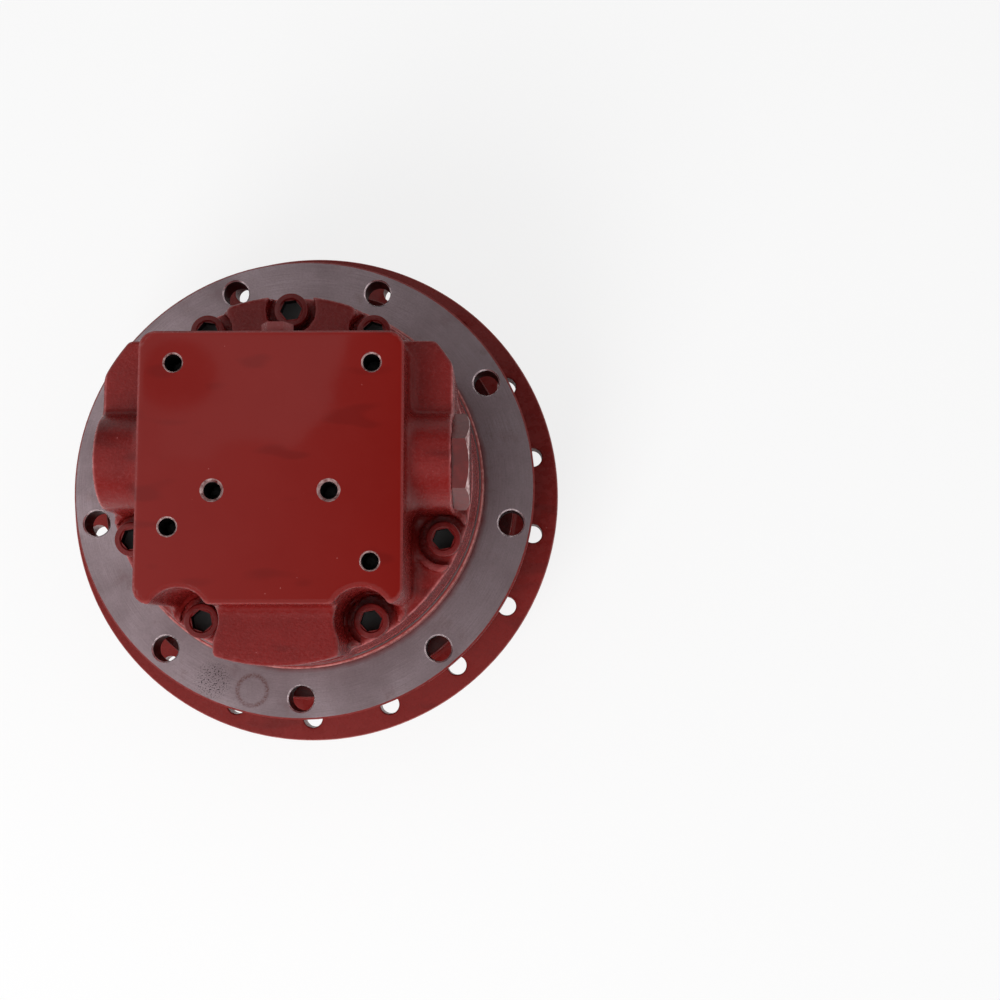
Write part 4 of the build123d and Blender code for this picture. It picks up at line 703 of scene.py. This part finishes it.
def oblong(x, y, low, high, corner):
    # distance to a rectangle with rounded corners, from its low to its high corner
    dx = np.abs(x - (low[0] + high[0]) / 2) - (high[0] - low[0]) / 2 + corner
    dy = np.abs(y - (low[1] + high[1]) / 2) - (high[1] - low[1]) / 2 + corner
    return np.hypot(np.maximum(dx, 0), np.maximum(dy, 0)) + np.minimum(np.maximum(dx, dy), 0) - corner


def joined(first, second, blend):
    # union with a cast fillet
    share = np.maximum(blend - np.abs(first - second), 0) / blend
    return np.minimum(first, second) - share * share * blend / 4


def common(first, second, blend):
    share = np.maximum(blend - np.abs(first - second), 0) / blend
    return np.maximum(first, second) + share * share * blend / 4


def castShape(x, y, z):
    b = castBlock
    edge, blend, foot = b["edge"], b["blend"], b["foot"]
    away = np.hypot(x, y)
    rim = away - b["flangeRadius"] + (z - b["joint"]) * b["flangeTaper"]
    shape = extruded(rim, z, b["joint"], b["flangeTop"], edge)
    points = onCircle(b["screwCircle"], b["screwAngles"])
    for px, py in points:
        boss = common(np.hypot(x - px, y - py) - b["bossRadius"], away - b["bossReach"], b["bossRim"])
        shape = joined(shape, extruded(boss, z, foot, b["bossTop"], edge), b["bossBlend"])
    lump = oblong(x, y, (-b["lumpHalf"], b["near"]), (b["lumpHalf"], b["far"]), b["lumpCorner"])
    lump = common(lump, away - b["lumpReach"], b["lumpRim"])
    shape = joined(shape, extruded(lump, z, foot, b["lumpTop"], b["softEdge"]), blend)
    pad = oblong(x, y, (-b["padHalf"], -b["far"]), (b["padHalf"], -b["near"]), b["padCorner"])
    pad = common(pad, away - b["padReach"], b["padRim"])
    shape = joined(shape, extruded(pad, z, foot, b["padTop"], b["padEdge"]), blend)
    wide = oblong(x, y, (b["wingLeft"], b["wingLow"]), (b["wingRight"], b["wingHigh"]), b["wingCorner"])
    wing = np.maximum(common(wide, away - b["wingReach"], b["wingRim"]), b["wingInner"] - np.abs(x))
    shape = joined(shape, extruded(wing, z, foot, b["wingTop"], b["softEdge"]), blend)
    middle = (b["wingLeft"] + b["wingRight"]) / 2
    reach = np.abs(x - middle) - (b["wingRight"] - b["wingLeft"]) / 2 + np.where(x < 0, b["bossShort"], 0)
    barrel = np.hypot(y - b["spoolY"], z - b["spoolZ"]) - b["spoolBoss"]
    web = np.maximum(np.abs(y - b["spoolY"]) - b["spoolBoss"], np.maximum(foot - z, z - b["spoolZ"]))
    side = np.minimum(barrel, web) + edge
    cap = reach + edge
    boss = np.hypot(np.maximum(side, 0), np.maximum(cap, 0)) + np.minimum(np.maximum(side, cap), 0) - edge
    shape = joined(shape, boss, blend)
    share = np.clip((z - b["lipFrom"]) / (b["lipTo"] - b["lipFrom"]), 0, 1)
    high = y - b["lip"] * share * share * (3 - 2 * share) * (y > 0)
    face = oblong(x, high, (b["faceLeft"], b["faceLow"]), (b["faceRight"], b["faceHigh"]), b["faceCorner"])
    shape = joined(shape, extruded(face, z, foot, b["faceTop"], edge), b["faceBlend"])
    for px, py in points:
        pocket = np.maximum(np.hypot(x - px, y - py) - b["pocket"], b["flangeTop"] - z)
        if py > b["faceHigh"]:
            pocket = np.maximum(pocket, z - b["lipFrom"])
        shape = common(shape, -pocket, b["pocketBlend"])
        if py < b["faceLow"]:
            scallop = np.maximum(np.hypot(x - px, y - py) - b["scallop"], b["bossTop"] - z)
            shape = common(shape, -scallop, b["scallopBlend"])
    shape = common(shape, z - b["faceTop"], b["topBlend"])
    return np.maximum(shape, b["joint"] - z)


def surfaceNet(shape, low, high, step):
    # one vertex in each grid cell that the surface crosses, moved onto it; one quad across each crossed edge
    axes = [np.arange(low[i] - 2 * step, high[i] + 2 * step, step) for i in range(3)]
    grid = np.meshgrid(*axes, indexing="ij")
    value = shape(*grid)
    inside = value < 0
    cells = tuple(size - 1 for size in value.shape)
    total = np.zeros(cells + (3,))
    count = np.zeros(cells)
    for axis in range(3):
        first = [slice(None)] * 3
        second = [slice(None)] * 3
        first[axis] = slice(0, -1)
        second[axis] = slice(1, None)
        a, b = value[tuple(first)], value[tuple(second)]
        crossed = inside[tuple(first)] != inside[tuple(second)]
        part = np.where(crossed, a / np.where(crossed, a - b, 1), 0)
        others = [i for i in range(3) if i != axis]
        for shiftU in (0, 1):
            for shiftV in (0, 1):
                window = [slice(None)] * 3
                window[others[0]] = slice(shiftU, shiftU + cells[others[0]])
                window[others[1]] = slice(shiftV, shiftV + cells[others[1]])
                hit = crossed[tuple(window)]
                count += hit
                total[..., axis] += np.where(hit, part[tuple(window)], 0)
                total[..., others[0]] += hit * shiftU
                total[..., others[1]] += hit * shiftV
    used = count > 0
    number = np.full(cells, -1)
    number[used] = np.arange(used.sum())
    corner = np.stack(np.nonzero(used), axis=1)
    start = np.array([axis[0] for axis in axes])
    points = start + (corner + total[used] / count[used][:, None]) * step
    probe = 0.05
    for turn in range(4):
        here = shape(*points.T)
        slope = [(shape(*(points + np.eye(3)[i] * probe).T) - here) / probe for i in range(3)]
        slope = np.stack(slope, axis=1)
        size = np.maximum((slope * slope).sum(axis=1), 0.25)
        points = points - np.clip(here / size, -step / 2, step / 2)[:, None] * slope * 0.8
    quads = []
    for axis in range(3):
        others = [(axis + 1) % 3, (axis + 2) % 3]
        first = [slice(1, -1)] * 3
        second = [slice(1, -1)] * 3
        first[axis] = slice(0, -1)
        second[axis] = slice(1, None)
        a, b = inside[tuple(first)], inside[tuple(second)]
        spots = np.stack(np.nonzero(a != b), axis=1)
        outward = a[tuple(spots.T)]
        spots[:, others[0]] += 1
        spots[:, others[1]] += 1
        ring = []
        for shiftU, shiftV in ((-1, -1), (0, -1), (0, 0), (-1, 0)):
            cell = spots.copy()
            cell[:, others[0]] += shiftU
            cell[:, others[1]] += shiftV
            ring.append(number[tuple(cell.T)])
        ring = np.stack(ring, axis=1)
        ring[~outward] = ring[~outward][:, ::-1]
        quads.append(ring)
    return points, np.concatenate(quads)


# the tapped holes of the port face with their chamfers, and the bores from the sides; an outline gives radius
# and distance along the bore's axis
blockBores = {
    "tapped": {(-48, 48): 0.9, (48, 48): 0.9, (48, -48): 0.9, (-49, -31.5): 0.9, (-28, -14): 1.6,
               (28, -14): 1.6},
    "tapRadius": 4.25, "tapDepth": 20, "tapCone": 22.5, "bottom": 168,
    "screwRadius": 6.05, "screwTop": 196, "shaftRadius": 14, "shaftTop": 189,
    "spool": [(0, -90, 0), (16, -90, 0), (16, -66, 0), (10, -66, 0), (10, 66, 0), (16, 66, 0), (16, 90, 0),
              (0, 90, 0)],
    "spoolSteps": 64,
    "sides": [
        {"outline": [(0, -102, 0), (14.5, -102, 0), (14.5, -93, 0), (10.3, -93, 0), (9.3, -92, 0),
                     (9.3, -75, 0), (0, -72, 0)], "steps": 56, "places": [(-16, 212), (16, 212)]},
        {"outline": [(0, 45, 0), (5.9, 48, 0), (5.9, 61.2, 0), (7.7, 63, 0), (0, 63, 0)], "steps": 40,
         "places": [(-44, 230), (18, 230), (44, 230)]},
        {"outline": [(0, 50, 0), (5.05, 50, 0), (5.05, 63, 0), (0, 63, 0)], "steps": 32,
         "places": [(-2.7, 230)]},
    ],
    "wallReach": 4.4, "wallBottom": 230, "mouthReach": 6.2, "mouthDepth": 2,
}


def machineBlock(piece):
    b, bores = castBlock, blockBores
    bm = bmesh.new()
    top, radius = b["faceTop"], bores["tapRadius"]
    for (x, y), chamfer in bores["tapped"].items():
        lathe(bm, [(0, top - bores["tapCone"], 0), (radius, top - bores["tapDepth"], 0),
                   (radius, top - chamfer, 0), (radius + chamfer + 1, top + 1, 0), (0, top + 1, 0)],
              40, (x, y))

    def pocket(radius, high, steps, centre):
        low = bores["bottom"]
        lathe(bm, [(0, low, 0), (radius, low, 0), (radius, high, 0), (0, high, 0)], steps, centre)

    for centre in onCircle(b["screwCircle"], b["screwAngles"]):
        pocket(bores["screwRadius"], bores["screwTop"], 32, centre)
    pocket(bores["shaftRadius"], bores["shaftTop"], 48, (0, 0))
    sidewaysLathe(bm, bores["spool"], bores["spoolSteps"], (0, b["spoolY"], b["spoolZ"]), "x")
    for bore in bores["sides"]:
        for x, z in bore["places"]:
            sidewaysLathe(bm, bore["outline"], bore["steps"], (x, 0, z), "y")
    bmesh.ops.recalc_face_normals(bm, faces=bm.faces[:])
    cutAway(piece, newPiece("blockCutter", bm))


def makePortBlock():
    b, bores = castBlock, blockBores
    low, high = (-b["box"], -b["box"], b["joint"]), (b["box"], b["box"], b["faceTop"])
    points, quads = surfaceNet(castShape, low, high, b["grid"])
    piece = pieceFrom("portBlockCasting", (points * mm).tolist(), quads.tolist())
    machineBlock(piece)

    def choose(centre, away, normal):
        nearest = min(math.hypot(centre.x - x, centre.y - y) for x, y in bores["tapped"])
        below = b["faceTop"] - centre.z
        if below < 0.3 and normal.z > 0.9:
            return 1
        if nearest < bores["wallReach"] and centre.z > bores["wallBottom"]:
            return 2
        # hole mouths: part worn paint, part painted highlight
        if nearest < bores["mouthReach"] and below < bores["mouthDepth"] and normal.z < 0.85:
            return 3
        return 0

    dressFaces(piece, (castPaint, facePaint, boreShade, wornMouth), choose)
    smoothByAngle(piece, 38)
    return piece


portBlock = makePortBlock()
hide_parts("port_block")
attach(portBlock, "housing")
print("port block cast and machined", len(portBlock.data.polygons))


# Screws

screwSizes = {
    "block": {"head": 9, "height": 12, "socket": 5, "depth": 6.6, "shank": 6, "length": 44, "seat": 194},
    "cover": {"head": 6.5, "height": 8, "socket": 3, "depth": 4.4, "shank": 4, "length": 24, "seat": 10},
}
coverCircle = {"radius": 103, "count": 12}
screwDetail = {"shankBevel": 0.8, "seatRound": 0.3, "headRound": 0.9, "steps": 48, "drillTip": 1.6,
               "mouthDepth": 0.7, "mouthFlare": 1.7, "tight": 0.97}


def oneScrew(name, size, down):
    # cap screw standing on its seat at height 0, with a hex socket that has a flared mouth
    d = screwDetail
    shank, head, top = size["shank"], size["head"], size["height"]
    bm = bmesh.new()
    lathe(bm, [(0, -size["length"], 0), (shank - d["shankBevel"], -size["length"], 0),
               (shank, d["shankBevel"] - size["length"], 0), (shank, 0, 0), (head, 0, d["seatRound"]),
               (head, top, d["headRound"]), (size["socket"] * 1.25, top, 0), (0, top, 0)], d["steps"])
    piece = newPiece(name, bm)
    bm = bmesh.new()
    corner = size["socket"] / math.cos(math.radians(30))
    floor = top - size["depth"]
    ring = hexagon(bm, corner, 0, floor, top + 1, lambda x, y, z: (x, y, z))
    tip = bm.verts.new((0, 0, (floor - d["drillTip"]) * mm))
    for k in range(6):
        bm.faces.new((tip, ring[(k + 1) % 6], ring[k]))
    bmesh.ops.recalc_face_normals(bm, faces=bm.faces[:])
    cutAway(piece, newPiece("socketCutter", bm))
    bm = bmesh.new()
    low, wide, flare = top - d["mouthDepth"], corner * d["tight"], d["mouthFlare"]
    lathe(bm, [(0, low, 0), (wide, low, 0), (wide + flare, top + 1, 0), (0, top + 1, 0)], d["steps"])
    cutAway(piece, newPiece("mouthCutter", bm))
    if down:
        piece.data.transform(Matrix.Rotation(math.pi, 4, "X"))
    smoothByAngle(piece)
    inside = piece.data.attributes.new("insideSocket", "BOOLEAN", "FACE")
    for polygon in piece.data.polygons:
        away = math.hypot(polygon.center.x, polygon.center.y)
        height = -polygon.center.z if down else polygon.center.z
        inside.data[polygon.index].value = (away < corner * mm * 1.01
                                            and (floor - 2) * mm < height < (low - 0.05) * mm)
    return piece


def placeScrews(name, size, points, seed, down):
    pattern = oneScrew(name + "Pattern", size, down)
    bm = bmesh.new()
    for x, y in points:
        bm.verts.new((x * mm, y * mm, size["seat"] * mm))
    piece = newPiece(name, bm)
    setInputs(piece, screwsAtPoints, {"Screw": pattern, "Seed": seed, "Head Finish": screwRed,
                                      "Socket Finish": blackOxide})
    finishModifiers(piece)
    bpy.data.objects.remove(pattern)
    return piece


blockPoints = onCircle(castBlock["screwCircle"], castBlock["screwAngles"])
blockScrews = placeScrews("blockScrews", screwSizes["block"], blockPoints, 4, False)
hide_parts("port_block_screws")
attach(blockScrews, "housing")
coverPoints = onCircle(coverCircle["radius"], [30 * k for k in range(coverCircle["count"])])
coverScrews = placeScrews("coverScrews", screwSizes["cover"], coverPoints, 9, True)
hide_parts("end_cover_screws")
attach(coverScrews, "hub")
print("screws placed")


# Motor case: the bare frame flange on top, paint outside, machined steel within

frameFlange = {"top": 150, "bottom": 132, "boltCircle": 117, "count": 9, "hole": 7, "play": 0.1,
               "pilot": 100.4, "chamfer": 0.8}


def makeMotorCase():
    f = frameFlange
    piece = copyOfNode("motorCase", "motor_case")
    cutHoles(piece, f, f["hole"] + f["play"], f["chamfer"], finishes["machined_case"])
    holes = onCircle(f["boltCircle"], [360 / f["count"] * k - 90 for k in range(f["count"])])

    def choose(centre, away, normal):
        if away < f["pilot"] - 3 or centre.z < f["bottom"] - 1:
            return 0
        if normal.z > 0.9 and abs(centre.z - f["top"]) < 0.2:
            return 1
        # hole walls get painted shade, their top chamfers a painted highlight
        if min(math.hypot(centre.x - x, centre.y - y) for x, y in holes) < f["hole"] + 1.2:
            return 4 if centre.z > f["top"] - f["chamfer"] else 3
        return 2

    dressFaces(piece, (finishes["machined_case"], flangeSteel, turnedPaint, holeWall, wornSteel), choose)
    smoothByAngle(piece)
    return piece


motorCase = makeMotorCase()
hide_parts("motor_case")
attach(motorCase, "housing")
print("motor case dressed", len(motorCase.data.polygons))


# Right end plug of the spool bore: a thick hexagon with a turned bevel on its outer end

rightPlug = {"flats": 42, "turn": 8.7, "seat": 86.4, "end": 94.8, "bevel": 0.55, "bevelIn": 0.4, "wide": 6,
             "shank": 15.5, "inner": 70, "gap": 0.2}


def makeRightPlug():
    p = rightPlug
    y, z = castBlock["spoolY"], castBlock["spoolZ"]
    bm = bmesh.new()
    corner = p["flats"] / 2 / math.cos(math.radians(30))
    ring = hexagon(bm, corner, p["turn"], p["seat"], p["end"],
                   lambda across, up, along: (along, y + across, z + up))
    bm.faces.new(ring)
    bmesh.ops.recalc_face_normals(bm, faces=bm.faces[:])
    piece = newPiece("rightPlug", bm)
    cone = bmesh.new()
    flat, wide, end = p["flats"] / 2 - p["bevelIn"], corner + p["wide"], p["end"]
    sidewaysLathe(cone, [(flat, end + 2, 0), (flat, end, 0), (wide, end - (wide - flat) * p["bevel"], 0),
                         (wide, end + 2, 0)], 96, (0, y, z), "x")
    cutAway(piece, newPiece("bevelCutter", cone))
    bm = bmesh.new()
    bm.from_mesh(piece.data)
    shank, inner, outer = p["shank"], p["inner"], p["seat"] - p["gap"]
    outline = [(0, inner, 0), (shank, inner, 0), (shank, outer, 0), (0, outer, 0)]
    sidewaysLathe(bm, outline, 64, (0, y, z), "x")
    bm.to_mesh(piece.data)
    bm.free()
    # the bevel's faces: part worn paint, part painted highlight
    dressFaces(piece, (glossRed, wornMouth), lambda centre, away, normal: int(0.05 < abs(normal.x) < 0.97))
    smoothByAngle(piece, 20)
    return piece


endPlug = makeRightPlug()
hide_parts("right_spool_plug")
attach(endPlug, "housing")
print("end plug made")


# Hub: turned casting with the sprocket flange

hubShape = {"hole": 5.5, "boltCircle": 130, "count": 18, "top": 103, "bottom": 89, "chamfer": 0.6,
            "steps": 256, "bareWithin": 116, "bareBelow": 128.9}
hubOutline = [
    (118, 30, 0.6), (118, 89, 4), (142.9, 89, 1.2), (142.9, 103, 1.2), (117, 103, 2.5), (117, 129, 0.8),
    (106.5, 129, 0.8), (106.5, 122.5, 0), (99.5, 122.5, 0.5), (99.5, 113, 0.5), (90.05, 113, 0.5),
    (90.05, 92.5, 0), (86, 92.5, 0), (86, 89.5, 0), (90.05, 89.5, 0), (90.05, 64.5, 0), (95.55, 64.5, 0),
    (95.55, 30, 0.5),
]


def makeHub():
    h = hubShape
    points = roundedOutline(hubOutline)
    bm = bmesh.new()
    for point in points:
        bm.verts.new((point.x * mm, 0, point.y * mm))
    outline = newPiece("hubOutline", bm)
    piece = newPiece("hubCase", bmesh.new())
    setInputs(piece, turnedBody, {"Outline": outline, "Corners": len(points), "Steps": h["steps"],
                                  "Material": turnedPaint})
    finishModifiers(piece)
    bpy.data.objects.remove(outline)
    bm = bmesh.new()
    bm.from_mesh(piece.data)
    bmesh.ops.recalc_face_normals(bm, faces=bm.faces[:])
    bm.to_mesh(piece.data)
    bm.free()
    cutHoles(piece, h, h["hole"], h["chamfer"], turnedPaint)
    dressFaces(piece, (turnedPaint, finishes["machined_case"]),
               lambda centre, away, normal: int(away < h["bareWithin"] and centre.z < h["bareBelow"]))
    smoothByAngle(piece)
    return piece


hubCase = makeHub()
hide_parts("hub_case")
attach(hubCase, "hub")
print("hub turned", len(hubCase.data.polygons))


# Ring gear and end cover, painted outside and bare within

coverPaint = {"ringRadius": 97, "ringTop": 30.5, "coverRadius": 111, "coverBottom": 12, "seatTop": 9.5,
              "seatRadius": 80}


def dressCover(name, node, inner, outer, isOutside):
    piece = copyOfNode(name, node)
    dressFaces(piece, (inner, outer), lambda centre, away, normal: int(isOutside(centre.z, away)))
    smoothByAngle(piece)
    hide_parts(node)
    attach(piece, "hub")
    return piece


def ringOutside(z, away):
    return away > coverPaint["ringRadius"] and z < coverPaint["ringTop"]


def coverOutside(z, away):
    c = coverPaint
    seat = z > c["seatTop"] and away < c["seatRadius"]
    return away > c["coverRadius"] or z < c["coverBottom"] and not seat


ringGear = dressCover("ringGear", "ring_gear", finishes["gear_steel"], turnedPaint, ringOutside)
endCover = dressCover("endCover", "end_cover", finishes["machined_case"], castPaint, coverOutside)
print("end cover dressed")


# The CAD nodes that stay get the finish of their slot

for name, node in nodes.items():
    material = finishes[slotOf[name]]
    if not node.data.materials:
        node.data.materials.append(material)
    for slot in node.material_slots:
        slot.material = material
print("inner pieces finished")


# Floor, world and light

floorLook = {"half": 6, "low": linear(250, 250, 250), "high": linear(252, 252, 252), "glow": 0.78}


def makeFloor():
    look = floorLook
    half = look["half"]
    floor = pieceFrom("floor", [(-half, -half, 0), (half, -half, 0), (half, half, 0), (-half, half, 0)],
                      [(0, 1, 2, 3)])
    made = Finish("paperFloor", 0.8)
    made.colour(made.mix(made.ramp(made.noise(3), 0.3, 0.7), look["low"], look["high"]))
    glow = made.add("ShaderNodeEmission", Strength=1)
    path = made.add("ShaderNodeLightPath")
    share = made.math("MULTIPLY", path.outputs["Is Camera Ray"], look["glow"])
    blend = made.add("ShaderNodeMixShader")
    for index, source in enumerate((share, made.shader.outputs[0], glow.outputs[0])):
        made.join(source, blend.inputs[index])
    made.join(blend.outputs[0], made.tree.nodes["Material Output"].inputs["Surface"])
    floor.data.materials.append(made.material)


# Cards that only reflections see; the window between the two halves of the one above shows in the port face
cardLook = {
    "high": 1.4, "brightX": -0.4, "dimX": -0.02,
    "window": [(-0.343, 0.215), (-0.342, 0.156), (-0.2815, 0.152), (-0.269, 0.169), (-0.252, 0.178),
               (-0.206, 0.177), (-0.173, 0.166), (-0.16, 0.175), (-0.1475, 0.192), (-0.1345, 0.202),
               (-0.122, 0.215), (-0.115, 0.235), (-0.122, 0.251), (-0.113, 0.2585), (-0.103, 0.297),
               (-0.094, 0.335)],
    "right": [(-0.094, 0.56), (0.6, 0.56), (0.6, -0.1), (0.1, -0.075), (-0.41, -0.1), (-0.41, 0.156)],
    "left": [(-0.41, 0.156), (-0.342, 0.156), (-0.343, 0.335), (-0.094, 0.335), (-0.094, 0.56),
             (-0.41, 0.56)],
    "round": {"middle": (-0.32, 0.262), "half": (0.052, 0.047), "drop": 0.01, "strength": 0.35},
    "panel": {"outline": [(-0.47, -0.35), (-0.41, -0.35), (-0.41, 0.45), (-0.47, 0.45)], "strength": 3},
    "walls": {
        "cardFront": [(-1.5, -1.3, 0.6), (1.5, -1.3, 0.6), (1.5, -1.3, 1.9), (-1.5, -1.3, 1.9)],
        "cardBack": [(-1.5, 1.5, 0.6), (1.5, 1.5, 0.6), (1.5, 1.5, 2.1), (-1.5, 1.5, 2.1)],
        "cardRight": [(1.3, -1.3, 0.6), (1.3, 1.5, 0.6), (1.3, 1.5, 1.1), (1.3, -1.3, 1.1)],
    },
    "wallStrength": 0.1,
}
worldLevel = 0.5


def makeCard(name, outlines, bright, dim):
    # bright at its left, dim from about the drive's axis on
    points, faces = [], []
    for outline in outlines:
        faces.append(tuple(range(len(points), len(points) + len(outline))))
        points += outline
    card = pieceFrom(name, points, faces)
    made = Finish(name, 1, specular=0)
    made.shader.inputs["Base Color"].default_value = (0, 0, 0, 1)
    made.shader.inputs["Emission Color"].default_value = (1, 1, 1, 1)
    strength = made.ramp(made.axes()["X"], cardLook["brightX"], cardLook["dimX"], bright, dim)
    made.join(strength, made.shader.inputs["Emission Strength"])
    card.data.materials.append(made.material)
    card.visible_camera = card.visible_diffuse = card.visible_shadow = False


def makeCards():
    c = cardLook
    high, blob, panel = c["high"], c["round"], c["panel"]
    halves = [[(x, y, high) for x, y in outline] for outline in (c["window"][1:] + c["right"], c["left"])]
    makeCard("cardAbove", halves, 1, 0)
    (x, y), (halfX, halfY) = blob["middle"], blob["half"]
    turns = [math.radians(15 * k) for k in range(24)]
    ring = [(x + halfX * math.cos(a), y + halfY * math.sin(a), high - blob["drop"]) for a in turns]
    makeCard("cardRound", [ring], blob["strength"], blob["strength"])
    makeCard("panelLeft", [[(x, y, high) for x, y in panel["outline"]]], panel["strength"], panel["strength"])
    for name, outline in c["walls"].items():
        makeCard(name, [outline], c["wallStrength"], 0)


def makeWorld(soft):
    # soft light on the drive, full white for the camera, in reflections and through holes
    world = bpy.data.worlds.new("studio")
    bpy.context.scene.world = world
    world.use_nodes = True
    tree = world.node_tree
    path = tree.nodes.new("ShaderNodeLightPath")
    seen = path.outputs["Is Camera Ray"]
    for ray in ("Is Glossy Ray", "Is Transmission Ray"):
        either = tree.nodes.new("ShaderNodeMath")
        either.operation = "MAXIMUM"
        tree.links.new(seen, either.inputs[0])
        tree.links.new(path.outputs[ray], either.inputs[1])
        seen = either.outputs[0]
    level = tree.nodes.new("ShaderNodeMapRange")
    level.inputs["To Min"].default_value = soft
    level.inputs["To Max"].default_value = 1
    tree.links.new(seen, level.inputs["Value"])
    background = tree.nodes["Background"]
    background.inputs["Color"].default_value = (1, 1, 1, 1)
    tree.links.new(level.outputs[0], background.inputs["Strength"])


softbox = {"place": (-0.4, -0.95, 1.3), "target": (0, 0, 0.2), "size": 0.7, "power": 14.5}


def makeSoftbox():
    data = bpy.data.lights.new("softbox", "AREA")
    data.shape = "SQUARE"
    data.size = softbox["size"]
    data.energy = softbox["power"]
    lamp = linked("softbox", data)
    lamp.location = softbox["place"]
    lamp.visible_glossy = False
    aim = Vector(softbox["target"]) - Vector(softbox["place"])
    lamp.rotation_euler = aim.to_track_quat("-Z", "Y").to_euler()


makeFloor()
makeCards()
makeWorld(worldLevel)
makeSoftbox()
print("studio set up")


# Camera, above the lower right of the drive and leaning a little, as in the photograph

cameraView = {"place": (0.11526, -0.08709, 0.92112), "turn": (5.889, 0.464, -0.03), "lens": 50.195,
              "sensor": 36}
cameraData = bpy.data.cameras.new("camera")
cameraData.lens = cameraView["lens"]
cameraData.sensor_width = cameraView["sensor"]
camera = linked("camera", cameraData)
camera.location = cameraView["place"]
camera.rotation_euler = [math.radians(angle) for angle in cameraView["turn"]]
bpy.context.scene.camera = camera
bpy.context.scene.view_settings.view_transform = "Standard"

print("scene done")
